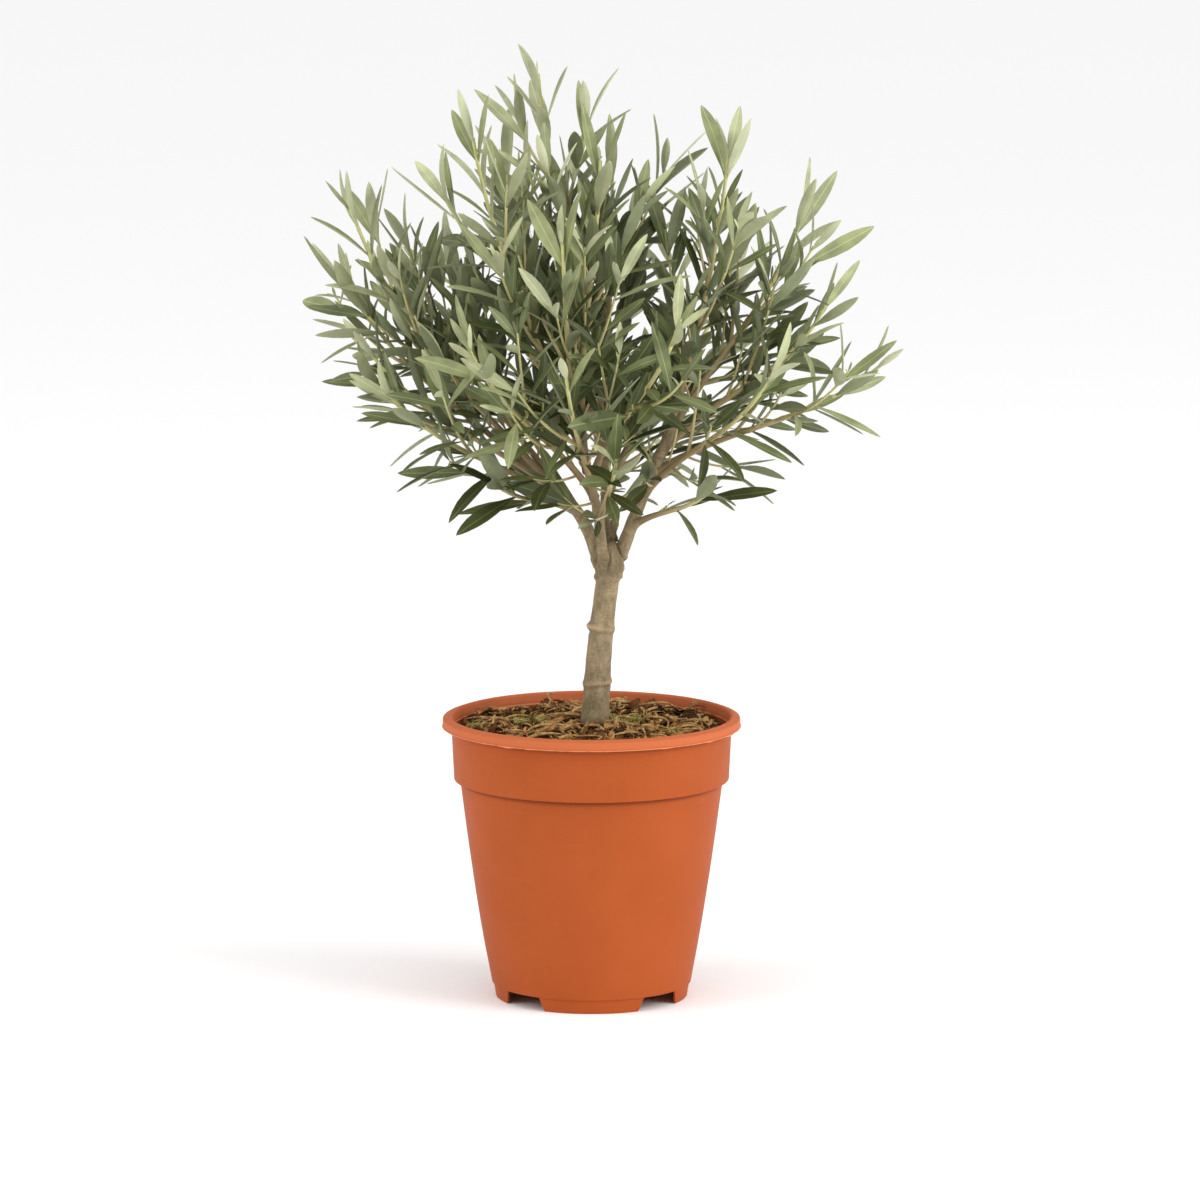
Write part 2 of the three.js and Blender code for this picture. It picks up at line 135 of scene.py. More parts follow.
# %% [markdown]
# The floor is one wide pale disc. A backdrop could close the view behind it, but the camera looks
# down, so the disc alone fills the picture and stays even from every side.
#
# A studio lights such a tree with large boxes, one stronger than the other, and a white ceiling. The
# boxes here are square lamps. The ceiling is a lamp at sky distance with a very wide disc, because it
# lights the far floor as brightly as the near. A bright surround fills what is left in shadow.

# %% Floor and light
def plain_mesh(name, vertices, faces, smooth=True):
    """A mesh object at the origin from millimetre points."""
    mesh = bpy.data.meshes.new(name)
    mesh.from_pydata([tuple(c * MM for c in v) for v in vertices], [], faces)
    mesh.shade_smooth() if smooth else mesh.shade_flat()
    made = bpy.data.objects.new(name, mesh)
    bpy.context.scene.collection.objects.link(made)
    return made


FLOOR_RADIUS = 40000
FLOOR_SIDES = 64
floor_turns = [2 * math.pi * i / FLOOR_SIDES for i in range(FLOOR_SIDES)]
floor_edge = [(FLOOR_RADIUS * math.cos(turn), FLOOR_RADIUS * math.sin(turn), 0) for turn in floor_turns]
floor = plain_mesh("floor", floor_edge, [tuple(range(FLOOR_SIDES))])


LAMP_AIM = Vector((0, 0, 0.28))
LAMP_SIZE = 1.4
CEILING = {"disc": math.radians(80), "strength": 1.3, "lean": math.radians(18)}
SURROUND_STRENGTH = 0.57


def soft_box(name, place, watts):
    """A square lamp that looks from its place at the middle of the tree."""
    data = bpy.data.lights.new(name, "AREA")
    data.size = LAMP_SIZE
    data.energy = watts
    lamp = bpy.data.objects.new(name, data)
    lamp.location = place
    lamp.rotation_euler = (LAMP_AIM - Vector(place)).to_track_quat("-Z", "Y").to_euler()
    bpy.context.scene.collection.objects.link(lamp)


soft_box("lamp_right", (1.9, -1.0, 1.1), 36)
soft_box("lamp_left", (-2.0, -0.8, 1.0), 18)

ceiling = bpy.data.objects.new("lamp_overhead", bpy.data.lights.new("lamp_overhead", "SUN"))
ceiling.data.angle = CEILING["disc"]
ceiling.data.energy = CEILING["strength"]
ceiling.rotation_euler = (CEILING["lean"], 0, 0)
bpy.context.scene.collection.objects.link(ceiling)

world = bpy.data.worlds.new("surround")
world.use_nodes = True
world.node_tree.nodes["Background"].inputs["Color"].default_value = (1.0, 1.0, 1.0, 1)
world.node_tree.nodes["Background"].inputs["Strength"].default_value = SURROUND_STRENGTH
bpy.context.scene.world = world
bpy.context.scene.view_settings.view_transform = "Standard"

# %% [markdown]
# ## A small language for finishes
#
# A finish in Blender is a web of nodes. Joining them by hand is slow to read, so one class wraps a
# node's output and lets Python's own signs build the Math nodes: 1 - mask, mask * 0.3 + 0.5. Colours
# go through Mix instead, because a Math node would turn them grey.

# %% Shader expressions
class Link:
    """An output of a finish's node, which can be added, multiplied and so on."""

    def __init__(self, finish, socket):
        self.finish = finish
        self.socket = socket

    def math(self, operation, *values):
        return self.finish.node("ShaderNodeMath", {"operation": operation}, dict(enumerate(values)))

    def __add__(self, other):
        return self.math("ADD", self, other)

    def __sub__(self, other):
        return self.math("SUBTRACT", self, other)

    def __rsub__(self, other):
        return self.math("SUBTRACT", other, self)

    def __mul__(self, other):
        return self.math("MULTIPLY", self, other)

    def between(self, low, high):
        """0 below low, 1 above high and a smooth step from one to the other."""
        return self.finish.node(
            "ShaderNodeMapRange",
            {"interpolation_type": "SMOOTHSTEP"},
            {"Value": self, "From Min": low, "From Max": high},
        )

# %% Finishes
class Finish:
    """One procedural material: a Principled shader and the nodes that feed it."""

    def __init__(self, name, roughness=0.5, **constants):
        self.material = bpy.data.materials.new(name)
        self.material.use_nodes = True
        self.tree = self.material.node_tree
        self.shader = self.tree.nodes["Principled BSDF"]
        self.set(Roughness=roughness, **constants)

    def plug(self, socket, value):
        """Joins a link to a socket, or sets a constant on the socket itself."""
        if isinstance(value, Link):
            self.tree.links.new(value.socket, socket)
        else:
            socket.default_value = value

    def node(self, kind, settings, sockets, out=0):
        """Any node: its settings first, then the values or links of its sockets."""
        made = self.tree.nodes.new(kind)
        for key, value in settings.items():
            if key == "stops":
                ramp = made.color_ramp.elements
                while len(ramp) < len(value):
                    ramp.new(0.5)
                for element, (place, colour) in zip(ramp, value):
                    element.position = place
                    element.color = colour
            else:
                setattr(made, key, value)
        for key, value in sockets.items():
            self.plug(made.inputs[key], value)
        return Link(self, made.outputs[out])

    def set(self, **values):
        """Sets the shader's own sockets; a name such as Base_Color has its space back."""
        for key, value in values.items():
            self.plug(self.shader.inputs[key.replace("_", " ")], value)

    def place(self, stretch=(1, 1, 1)):
        """Object coordinates in millimetres, stretched along each axis."""
        spot = self.node("ShaderNodeTexCoord", {}, {}, out=3)
        scale = tuple(s / MM for s in stretch)
        return self.node("ShaderNodeMapping", {"vector_type": "POINT"}, {"Vector": spot, "Scale": scale})

    def noise(self, size, detail=4.0, roughness=0.55, stretch=(1, 1, 1), distortion=0.0):
        """A cloudy pattern from 0 to 1 whose spots are about size millimetres across."""
        settings = {"noise_dimensions": "3D"}
        sockets = {"Vector": self.place(stretch), "Scale": 1 / size, "Detail": detail}
        sockets.update({"Roughness": roughness, "Distortion": distortion})
        return self.node("ShaderNodeTexNoise", settings, sockets)

    def blend(self, low, high, share):
        """A colour that goes from low to high with the share."""
        return self.node("ShaderNodeMix", {"data_type": "RGBA"}, {0: share, 6: low, 7: high}, out=2)

    def ramp(self, share, *stops):
        """A colour read off a row of (place, colour) stops."""
        return self.node("ShaderNodeValToRGB", {"stops": stops}, {"Fac": share})

    def height(self):
        """How high a point lies, in millimetres."""
        return self.node("ShaderNodeSeparateXYZ", {}, {"Vector": self.place()}, out=2)

    def attribute(self, name):
        """A number that the mesh carries under this name."""
        return self.node("ShaderNodeAttribute", {"attribute_name": name}, {}, out=2)

    def bump(self, height, distance, strength=1.0):
        """Feeds a height in shares of distance, in millimetres, to the shader's normal."""
        sockets = {"Height": height, "Distance": distance * MM, "Strength": strength}
        self.set(Normal=self.node("ShaderNodeBump", {}, sockets))


floor_finish = Finish("pale_floor", roughness=0.9)
floor_finish.set(Base_Color=(0.98, 0.98, 0.98, 1))
floor.data.materials.append(floor_finish.material)

# %% [markdown]
# ## The pot
#
# A nursery pot is blown or moulded from thin polypropylene. It has a rolled rim, a plain band under
# it that stiffens the mouth, a small step, and a body that narrows to a foot ring. The ring is cut
# by four notches that let water out, and a dished pad in the middle rests on the ground.
#
# The profile could be drawn as a curve and spun with Screw. Here it is a short list of corners, each
# with its own rounding, because a maker thinks of a mould in the same way.

# %% Pot profile
POT_SIDES = 240
ROUND_STEPS = 4


def rounded(corners):
    """A profile through corners (radius, height, rounding), each corner turned into a short arc."""
    points = []
    for i, (r, z, rounding) in enumerate(corners):
        if rounding == 0 or i in (0, len(corners) - 1):
            points.append((r, z))
            continue
        here = Vector((r, z))
        before = Vector(corners[i - 1][:2]) - here
        after = Vector(corners[i + 1][:2]) - here
        back = min(rounding, before.length * 0.45, after.length * 0.45)
        start = here + before.normalized() * back
        end = here + after.normalized() * back
        for step in range(ROUND_STEPS + 1):
            t = step / ROUND_STEPS
            points.append(tuple(start * (1 - t) ** 2 + here * 2 * t * (1 - t) + end * t * t))
    return points


POT_OUTSIDE = [
    (0, 0, 0), (15, 0, 1.0), (19, 8.5, 1.5),  # the pad in the middle and the dish round it
    (55.0, 8.5, 0.8), (53.2, 0.0, 0.3), (54.8, 0.0, 0.5), (56.1, 7.9, 0.2),  # the foot ring
    (57.0, 8.2, 0.4), (57.4, 10.5, 1.0), (62.6, 38, 12), (67.2, 67.5, 12), (71.2, 96, 12),  # the body
    (75, 125.2, 0.3), (75.1, 127.1, 0.3), (78.5, 126.0, 0.6),  # the step under the band
    (80, 156.6, 0.5), (84.6, 156.4, 0.2), (85.3, 156.5, 0.1), (85.0, 157.2, 0.3),  # band and flash
    (84.9, 161.2, 0.8), (80.6, 162.7, 0.7), (79.4, 161.6, 1.0),  # the rolled rim
]
POT_INSIDE = [  # from the rim down to the axis
    (78.4, 154.5, 2.0), (76.8, 126.5, 1.0), (73.4, 125, 1.0), (65.6, 68, 12), (55.7, 12.6, 1.2),
    (53.2, 10.1, 1.0), (19, 10.1, 1.0), (14.2, 1.6, 1.0), (0, 1.6, 0),
]


def spun(name, profile, sides, wobble=None):
    """A profile spun about the axis into a closed mesh, each ring moved by wobble(radius, height, angle)."""
    rings = []
    vertices = []
    for r, z in profile:
        if r < 1e-6:
            rings.append([len(vertices)] * sides)
            vertices.append((0, 0, z))
            continue
        rings.append(list(range(len(vertices), len(vertices) + sides)))
        for i in range(sides):
            angle = 2 * math.pi * i / sides
            radius, height = wobble(r, z, angle) if wobble else (r, z)
            vertices.append((radius * math.cos(angle), radius * math.sin(angle), height))
    faces = []
    for low, high in zip(rings, rings[1:]):
        for i in range(sides):
            j = (i + 1) % sides
            corners = [low[i], low[j], high[j], high[i]]
            faces.append(tuple(dict.fromkeys(corners)))
    return plain_mesh(name, vertices, faces)

# %% [markdown]
# A thin pot is never quite round, and the parting line under the rim leaves an uneven edge of flash.
# Both are real dents in the surface, so they go into the mesh and not only into the finish.

# %% Pot mesh
OUT_OF_ROUND = {"size": 0.35, "lobes": 1.4, "tall": 90, "full_above": 40}
FLASH = {"low": 156.0, "high": 156.9, "beyond": 84.8, "teeth": 9, "fine": 2.7, "out": 0.3, "down": 0.6}


def pot_wobble(r, z, angle):
    """The true radius and height of a point: out of round everywhere, and rough along the flash."""
    across, along = math.cos(angle), math.sin(angle)
    lobes, teeth = OUT_OF_ROUND["lobes"], FLASH["teeth"]
    bulge = noise.noise(Vector((across * lobes, along * lobes, z / OUT_OF_ROUND["tall"])))
    radius = r + OUT_OF_ROUND["size"] * bulge * min(1, z / OUT_OF_ROUND["full_above"])
    if FLASH["low"] < z < FLASH["high"] and r > FLASH["beyond"]:
        edge = Vector((across * teeth, along * teeth, 3))
        rough = noise.noise(edge) + 0.5 * noise.noise(edge * FLASH["fine"])
        return radius + FLASH["out"] * rough, z - FLASH["down"] * max(0, rough)
    return radius, z


pot_profile = rounded(POT_OUTSIDE + POT_INSIDE)
pot = spun("nursery_pot", pot_profile, POT_SIDES, pot_wobble)
print("pot before cutting:", len(pot_profile), "rings,", len(pot.data.polygons), "faces")

# %% [markdown]
# The notches let water out from under the pot, and a drain slot in the floor lies behind each. They
# are cut like a joiner cuts a mortise: a closed prism stands where the opening goes, and a Boolean
# takes it away. Drawing the openings into the spun mesh would break its even rows of faces.

# %% Notches and drains
NOTCHES = 4
NOTCH_FIRST = math.radians(45)
NOTCH = {
    "top": 25.0, "low": 29.0, "height": 8.2, "depth": 16.0, "radius": 54.8, "corner": 1.6,
    "corner_steps": 5,
}
DRAIN = {"radius": 46.0, "length": 15.0, "width": 7.0, "arc": 8, "low": 5.5, "tall": 8}
SHARP_FROM = math.radians(38)


def raised(name, outline, to_world):
    """A closed prism: an outline at two depths, both placed by to_world(x, y, depth share)."""
    count = len(outline)
    vertices = [to_world(x, y, depth) for depth in (0, 1) for x, y in outline]
    faces = [tuple(reversed(range(count))), tuple(range(count, 2 * count))]
    for i in range(count):
        j = (i + 1) % count
        faces.append((i, j, count + j, count + i))
    return plain_mesh(name, vertices, faces, smooth=False)


def turned(x, y, z, angle):
    """A point turned about the pot's axis."""
    return (x * math.cos(angle) - y * math.sin(angle), x * math.sin(angle) + y * math.cos(angle), z)


def notch_cutter(angle):
    """A wedge across the foot ring, with its lower corners rounded outwards."""
    half_low, half_top, corner = NOTCH["low"] / 2, NOTCH["top"] / 2, NOTCH["corner"]
    side = [(half_low + corner, -1), (half_low + corner, 0)]
    for step in range(1, NOTCH["corner_steps"] + 1):
        turn = math.pi / 2 * step / NOTCH["corner_steps"]
        side.append((half_low + corner * (1 - math.sin(turn)), corner * (1 - math.cos(turn))))
    side.append((half_top, NOTCH["height"]))
    outline = side + [(-x, y) for x, y in reversed(side)]
    inner = NOTCH["radius"] - NOTCH["depth"] / 2
    return raised("notch", outline, lambda x, y, d: turned(inner + NOTCH["depth"] * d, x, y, angle))


def drain_cutter(angle):
    """An upright slot with round ends, through the pot's floor."""
    half, low, tall = DRAIN["width"] / 2, DRAIN["low"], DRAIN["tall"]
    straight = (DRAIN["length"] - DRAIN["width"]) / 2
    outline = []
    for end, first in ((straight, 0), (-straight, math.pi)):
        for step in range(DRAIN["arc"] + 1):
            turn = first + math.pi * step / DRAIN["arc"]
            outline.append((half * math.cos(turn), end + half * math.sin(turn)))
    return raised("drain", outline, lambda x, y, d: turned(DRAIN["radius"] + x, y, low + tall * d, angle))


def made_plain(piece):
    """Replaces a piece's mesh by what its modifiers make of it, and takes the modifiers off."""
    graph = bpy.context.evaluated_depsgraph_get()
    mesh = bpy.data.meshes.new_from_object(
        piece.evaluated_get(graph), preserve_all_data_layers=True, depsgraph=graph
    )
    piece.modifiers.clear()
    piece.data = mesh
    mesh.name = piece.name


def cut_away(piece, cutters):
    """Cuts every cutter out of a piece and leaves a plain mesh."""
    for cutter in cutters:
        modifier = piece.modifiers.new("cut", "BOOLEAN")
        modifier.operation = "DIFFERENCE"
        modifier.solver = "EXACT"
        modifier.object = cutter
    made_plain(piece)
    for cutter in cutters:
        bpy.data.objects.remove(cutter)


angles = [NOTCH_FIRST + 2 * math.pi * i / NOTCHES for i in range(NOTCHES)]
cut_away(pot, [notch_cutter(a) for a in angles] + [drain_cutter(a) for a in angles])
pot.data.set_sharp_from_angle(angle=SHARP_FROM)
print("pot:", len(pot.data.polygons), "faces")

# %% [markdown]
# ### The pot's finish
#
# Terracotta-coloured polypropylene is dyed right through. It has a low sheen, faint scuffs from
# handling, and a grain so fine that it only softens the highlights. The colour changes very little:
# broad cloudy patches a few centimetres wide, and paler scuff lines round the band. Light and shade
# are painted on top of that: a painted highlight on the rolled rim and along the thin flash, and
# painted shade in the corners under the lip and the band. All of that goes by height alone, so the
# stripes need no drawing.

# %% Pot finish
# heights of the painted light and shade: a painted highlight on the rim and the flash, painted shade in the
# two corners
RIM_HIGHLIGHT = (155.8, 158.5)
FLASH_HIGHLIGHT = (155.5, 156.2, 156.7, 157.0)
SHADE_UNDER_BAND = (122.6, 125.4, 125.7, 126.0)
SHADE_UNDER_LIP = (152.8, 155.5, 155.6, 155.8)
PAINTED_SHADE = paint(92, 38, 15)


def stripe(height, starts, full, fades, ends):
    """1 between two heights and 0 away from them, with a soft edge below and above."""
    return height.between(starts, full) * (1 - height.between(fades, ends))


plastic = Finish("terracotta_plastic", Specular_IOR_Level=0.12)
cloud = plastic.noise(45, detail=3)
scuffs = plastic.noise(9, detail=6, roughness=0.7, stretch=(0.25, 0.25, 1.6), distortion=0.6)
scuffs = scuffs.between(0.62, 0.75)
body_colour = plastic.blend(paint(158, 72, 29), paint(176, 86, 39), cloud)
body_colour = plastic.blend(body_colour, paint(196, 108, 66), scuffs * 0.35)
pot_height = plastic.height()
# painted highlight: the rolled rim turns paler from this height up, as where light falls on its top
body_colour = plastic.blend(body_colour, paint(196, 106, 66), pot_height.between(*RIM_HIGHLIGHT) * 0.75)
# painted shade: darker stripes on the wall in the corners under the band and under the lip
body_colour = plastic.blend(body_colour, PAINTED_SHADE, stripe(pot_height, *SHADE_UNDER_BAND) * 0.6)
body_colour = plastic.blend(body_colour, PAINTED_SHADE, stripe(pot_height, *SHADE_UNDER_LIP) * 0.35)
# painted highlight along the flash's lower edge, broken into short pieces by noise
broken_flash_highlight = stripe(pot_height, *FLASH_HIGHLIGHT) * plastic.noise(5).between(0.25, 0.5)
plastic.set(Base_Color=plastic.blend(body_colour, paint(214, 136, 96), broken_flash_highlight))
plastic.set(Roughness=plastic.noise(20, detail=5) * 0.15 + scuffs * 0.1 + 0.48)
plastic.bump(plastic.noise(0.5, detail=3) * 0.5 + plastic.noise(6, detail=2), 0.08, 0.5)
pot.data.materials.append(plastic.material)
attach(pot, "root")
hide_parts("pot")
print(plastic.material.name, len(plastic.tree.nodes), "nodes")

# %% [markdown]
# ## Numbers that repeat
#
# A plant grows by rule and by chance. The chance comes from a small generator that gives the same row
# of numbers for the same seed, on any machine. Blender's own random numbers could change with its
# version. The solids were grown with this same generator, so both crowns are one kind of growth.

# %% Seeded chance
SEED = 4021


class Rolls:
    """Numbers from 0 to 1 in a row that only depends on the seed."""

    WORD = 0xFFFFFFFF  # the largest 32-bit number, which keeps every sum within 32 bits
    STRIDE = 0x6D2B79F5

    def __init__(self, seed):
        self.state = seed & self.WORD

    def __call__(self):
        self.state = (self.state + self.STRIDE) & self.WORD
        t = (self.state ^ (self.state >> 15)) * (self.state | 1) & self.WORD
        t ^= (t + (t ^ (t >> 7)) * (t | 61)) & self.WORD
        return (t ^ (t >> 14)) / (self.WORD + 1)

    def vary(self, middle, share):
        """A number spread evenly about middle by up to a share of it each way."""
        return middle * (1 + share * (2 * self() - 1))

    def spread(self, low, high):
        """A number anywhere from low to high."""
        return mix(low, high, self())


first_rolls = Rolls(SEED)
print("first numbers:", round(first_rolls(), 6), round(first_rolls(), 6))

# %% [markdown]
# ## The lines of growth
#
# Every woody part follows a line. The trunk's passes through a few stations. A limb's is a Bezier
# curve, and a main shoot's starts in the direction of its limb and turns upwards to its tip. All of
# them answer the same two questions: where is the point at this share of the length, and which way
# does the line run there?

# %% Paths
PATH_STEPS = 200
NEAR_SHARE = 0.004


class Path:
    """A smooth line through space, read by the share of its length."""

    def __init__(self, point_at):
        self.points = [point_at(i / PATH_STEPS) for i in range(PATH_STEPS + 1)]
        lengths = [0.0]
        for a, b in zip(self.points, self.points[1:]):
            lengths.append(lengths[-1] + (b - a).length)
        self.length = lengths[-1]
        self.shares = np.array(lengths) / self.length

    def at(self, share):
        """The point at a share of the length."""
        place = float(np.interp(share, self.shares, np.arange(PATH_STEPS + 1)))
        low = min(int(place), PATH_STEPS - 1)
        return self.points[low].lerp(self.points[low + 1], place - low)

    def heading(self, share):
        """The direction of the line at a share of the length."""
        here = max(0.0, min(1.0, share))
        return (self.at(min(1, here + NEAR_SHARE)) - self.at(max(0, here - NEAR_SHARE))).normalized()


def bezier(*controls):
    """The path of a Bezier curve, by splitting its control polygon again and again."""

    def point_at(t):
        points = [Vector(c) for c in controls]
        while len(points) > 1:
            points = [a.lerp(b, t) for a, b in zip(points, points[1:])]
        return points[0]

    return Path(point_at)


def through(stations):
    """A path through stations, eased from each to the next."""
    knots = [Vector(s) for s in stations]

    def point_at(t):
        i = min(int(t * (len(knots) - 1)), len(knots) - 2)
        u = t * (len(knots) - 1) - i
        a, b = knots[max(i - 1, 0)], knots[i]
        c, d = knots[i + 1], knots[min(i + 2, len(knots) - 1)]
        bend = a * 2 - b * 5 + c * 4 - d
        swing = b * 3 - a - c * 3 + d
        return (b * 2 + (c - a) * u + bend * u * u + swing * u ** 3) / 2

    return Path(point_at)

# %% [markdown]
# The routes repeat the ones of the solids: the trunk's stations, the four limbs, and for each main
# shoot its limb, how far along it starts, the tip it reaches, and how strongly it turns upwards.

# %% Trunk, limbs and shoots
TRUNK_ROUTE = [
    (1.9, 0, 157.9), (3.4, 0.5, 183), (5.4, 0.7, 209), (8.2, 0.3, 233), (10.2, 0, 250), (11.4, 0, 263),
]
TRUNK = {
    "foot": 157.9, "foot_radius": 7.9, "flare": 0.4, "flare_height": 5,
    "fork": 232, "fork_radius": 6.5, "stub": 252, "top": 263, "past_top": 0.2,
}
SWELLINGS = [(181, 0.45, 3), (213, 0.6, 3), (250, 2.3, 7)]  # height, how far out, its reach up and down

LIMBS = {
    "left": {"route": [(6, -1, 246), (0, -2, 268), (-6, -4, 284), (-26, -7, 298)], "radii": (4.3, 2.6)},
    "right": {"route": [(13, 0, 247), (20, 0, 263), (29, -1, 291), (43, -4, 322)], "radii": (4.4, 2.3)},
    "centre": {"route": [(8, -5, 247), (5, -12, 262), (5, -17, 287), (-4, -26, 312)], "radii": (3.3, 2.1)},
    "back": {"route": [(10, 5, 247), (7, 12, 264), (8, 18, 284), (8, 28, 312)], "radii": (3.5, 2.2)},
}
SHOOTS = {  # its limb, the share of the limb where it starts, its tip, how strongly it turns upwards
    "left_low": ("left", 0.8, (-124, -16, 372), 0.5),
    "left_low_front": ("left", 0.6, (-112, -62, 354), 0.4),
    "left_mid": ("left", 1, (-141, 12, 412), 0.6),
    "left_high": ("left", 0.9, (-136, -14, 456), 0.9),
    "left_crest": ("left", 0.7, (-104, 14, 430), 1),
    "left_twig": ("left", 0.6, (-52, -42, 300), 0.3),
    "back_left": ("left", 0.55, (-84, 88, 412), 0.7),
    "top_left": ("centre", 0.9, (-66, -38, 496), 1),
    "front_left": ("centre", 0.66, (-68, -98, 386), 0.5),
    "front_low": ("centre", 0.4, (14, -92, 322), 0.3),
    "front_centre": ("centre", 0.52, (-14, -106, 372), 0.6),
    "front_high": ("centre", 1, (-16, -72, 440), 1),
    "front_right": ("centre", 0.8, (48, -100, 398), 0.6),
    "top_centre": ("centre", 0.97, (5, -24, 482), 1),
    "top": ("back", 1, (-30, 8, 528), 1),
    "top_left_back": ("back", 0.88, (-50, 54, 472), 1),
    "top_back": ("back", 0.96, (12, 50, 474), 1),
    "back_centre": ("back", 0.75, (-22, 120, 400), 0.6),
    "back_right": ("back", 0.6, (80, 94, 404), 0.7),
    "back_low": ("back", 0.45, (34, 116, 338), 0.4),
    "top_right": ("right", 0.94, (77, -16, 484), 1),
    "right_high": ("right", 1, (120, 10, 450), 0.9),
    "right_mid": ("right", 0.86, (132, -6, 398), 0.85),
    "right_low": ("right", 0.72, (163, -20, 366), 0.35),
    "right_front": ("right", 0.56, (99, -78, 366), 0.5),
    "right_twig": ("right", 0.32, (66, -48, 298), 0.3),
}
BOUGH = {"share": 0.25, "head": 2.5, "end": 1.7, "handle": 0.36, "follow": 0.75}
STEM_END = 0.9

trunk_path = through(TRUNK_ROUTE)
limb_paths = {name: bezier(*limb["route"]) for name, limb in LIMBS.items()}


def shoot_path(limb, at, tip, lift):
    """A main shoot's whole line, from inside its limb to its tip."""
    start, end = limb_paths[limb].at(at), Vector(tip)
    reach = (end - start).length
    straight = (end - start).normalized()
    heading = (straight + limb_paths[limb].heading(at) * BOUGH["follow"] * lift).normalized()
    arrival = (straight + UP * lift).normalized()
    handle = reach * BOUGH["handle"]
    return bezier(start, start + heading * handle, end - arrival * handle, end)


shoot_paths = {name: shoot_path(*shoot) for name, shoot in SHOOTS.items()}
print("shoots:", len(shoot_paths), "total length", round(sum(p.length for p in shoot_paths.values())), "mm")

# %% [markdown]
# ## Sweeping wood along lines
#
# A limb is a line with a thickness. Blender can bevel a curve, but Geometry Nodes do the same with a
# radius stored on every point, for hundreds of twigs in one go: the edges become curves, a circle is
# carried along them at that radius, and the ends are closed.

# %% Geometry Nodes helper
class NodeTree:
    """A Geometry Nodes tree built line by line."""

    def __init__(self, name, inputs):
        self.tree = bpy.data.node_groups.new(name, "GeometryNodeTree")
        self.tree.interface.new_socket("Geometry", in_out="INPUT", socket_type="NodeSocketGeometry")
        self.names = {}
        for label, kind in inputs.items():
            socket = self.tree.interface.new_socket(label, in_out="INPUT", socket_type="NodeSocket" + kind)
            self.names[label] = socket.identifier
        self.tree.interface.new_socket("Geometry", in_out="OUTPUT", socket_type="NodeSocketGeometry")
        self.start = self.tree.nodes.new("NodeGroupInput")
        self.end = self.tree.nodes.new("NodeGroupOutput")

    def given(self, label):
        """One of the tree's own inputs."""
        return self.start.outputs[label]

    def node(self, kind, settings, sockets, out=0):
        """Any node: settings first, then the values or links of its sockets, by name or by number."""
        made = self.tree.nodes.new(kind)
        for key, value in settings.items():
            setattr(made, key, value)
        for key, value in sockets.items():
            if isinstance(value, bpy.types.NodeSocket):
                self.tree.links.new(value, made.inputs[key])
            else:
                made.inputs[key].default_value = value
        return made.outputs[out]

    def stored(self, name, data_type):
        """A number that the mesh carries under this name."""
        return self.node("GeometryNodeInputNamedAttribute", {"data_type": data_type}, {"Name": name})

    def finish(self, geometry, *painted):
        """Ends the tree: instances made real, then each material set where its attribute says."""
        geometry = self.node("GeometryNodeRealizeInstances", {}, {"Geometry": geometry})
        for material, where in painted:
            sockets = {"Geometry": geometry, "Material": self.given(material)}
            if where:
                sockets["Selection"] = self.stored(where, "BOOLEAN")
            geometry = self.node("GeometryNodeSetMaterial", {}, sockets)
        self.tree.links.new(geometry, self.end.inputs[0])

    def run(self, piece, **values):
        """Puts the tree on a piece with its inputs set, and turns the result into a plain mesh."""
        modifier = piece.modifiers.new(self.tree.name, "NODES")
        modifier.node_group = self.tree
        for label, value in values.items():
            modifier[self.names[label.replace("_", " ")]] = value
        piece.update_tag()
        made_plain(piece)
        return piece

# %% Sweep tree
sweep = NodeTree("sweep", {"Sides": "Int", "Finish": "Material"})
sweep_curve = sweep.node("GeometryNodeMeshToCurve", {}, {"Mesh": sweep.given("Geometry")})
sweep_ring = sweep.node(
    "GeometryNodeCurvePrimitiveCircle", {}, {"Resolution": sweep.given("Sides"), "Radius": 1.0}
)
sweep_tube = sweep.node(
    "GeometryNodeCurveToMesh",
    {},
    {
        "Curve": sweep_curve, "Profile Curve": sweep_ring, "Scale": sweep.stored("radius", "FLOAT"),
        "Fill Caps": True,
    },
)
sweep.finish(sweep_tube, ("Finish", None))
print("sweep tree:", len(sweep.tree.nodes), "nodes")


def strands(name, lines):
    """An object of bare edges, one row for each line of (points, radii, ages), in millimetres."""
    vertices, edges, radii, ages = [], [], [], []
    for points, thickness, age in lines:
        first_vertex = len(vertices)
        vertices.extend(tuple(p * MM) for p in points)
        edges.extend((first_vertex + i, first_vertex + i + 1) for i in range(len(points) - 1))
        radii.extend(t * MM for t in thickness)
        ages.extend(age)
    mesh = bpy.data.meshes.new(name)
    mesh.from_pydata(vertices, edges, [])
    mesh.attributes.new("radius", "FLOAT", "POINT").data.foreach_set("value", radii)
    mesh.attributes.new("age", "FLOAT", "POINT").data.foreach_set("value", ages)
    made = bpy.data.objects.new(name, mesh)
    bpy.context.scene.collection.objects.link(made)
    return made

# %% [markdown]
# ## Trunk and limbs
#
# Where a limb leaves the trunk, wood flows from one into the other with a collar and a crease. Tubes
# alone would cross like pipes. So the tubes are swept first, then a voxel remesh melts them into one
# skin, a little smoothing softens the creases, and the bark's relief is pressed into that skin.
# Every shoot begins in that skin with a short collar, and a small dead snag stands behind the stub.

# %% Trunk and limbs as one skin
SKIN_SIDES = 40
SKIN_VOXEL = 0.55
TRUNK_STEP, LIMB_STEP, COLLAR_STEP, SNAG_STEP = 1.2, 1.5, 1.2, 1.0
COLLAR = {"length": 15.0, "swell": 1.35, "end": 0.62, "fall": 0.7}
SNAG_ROUTE = [(12.5, 3, 252), (12, 4, 262), (11.5, 5, 269), (14.5, 5, 276)]
SNAG = {"radius": 2.6, "taper": 0.9, "knots": 0.5, "knot_beat": 17}
SOFTEN = {"factor": 0.5, "rounds": 4}


def grown_up(share):
    """The age stored along old wood, which is the same all over."""
    return 1


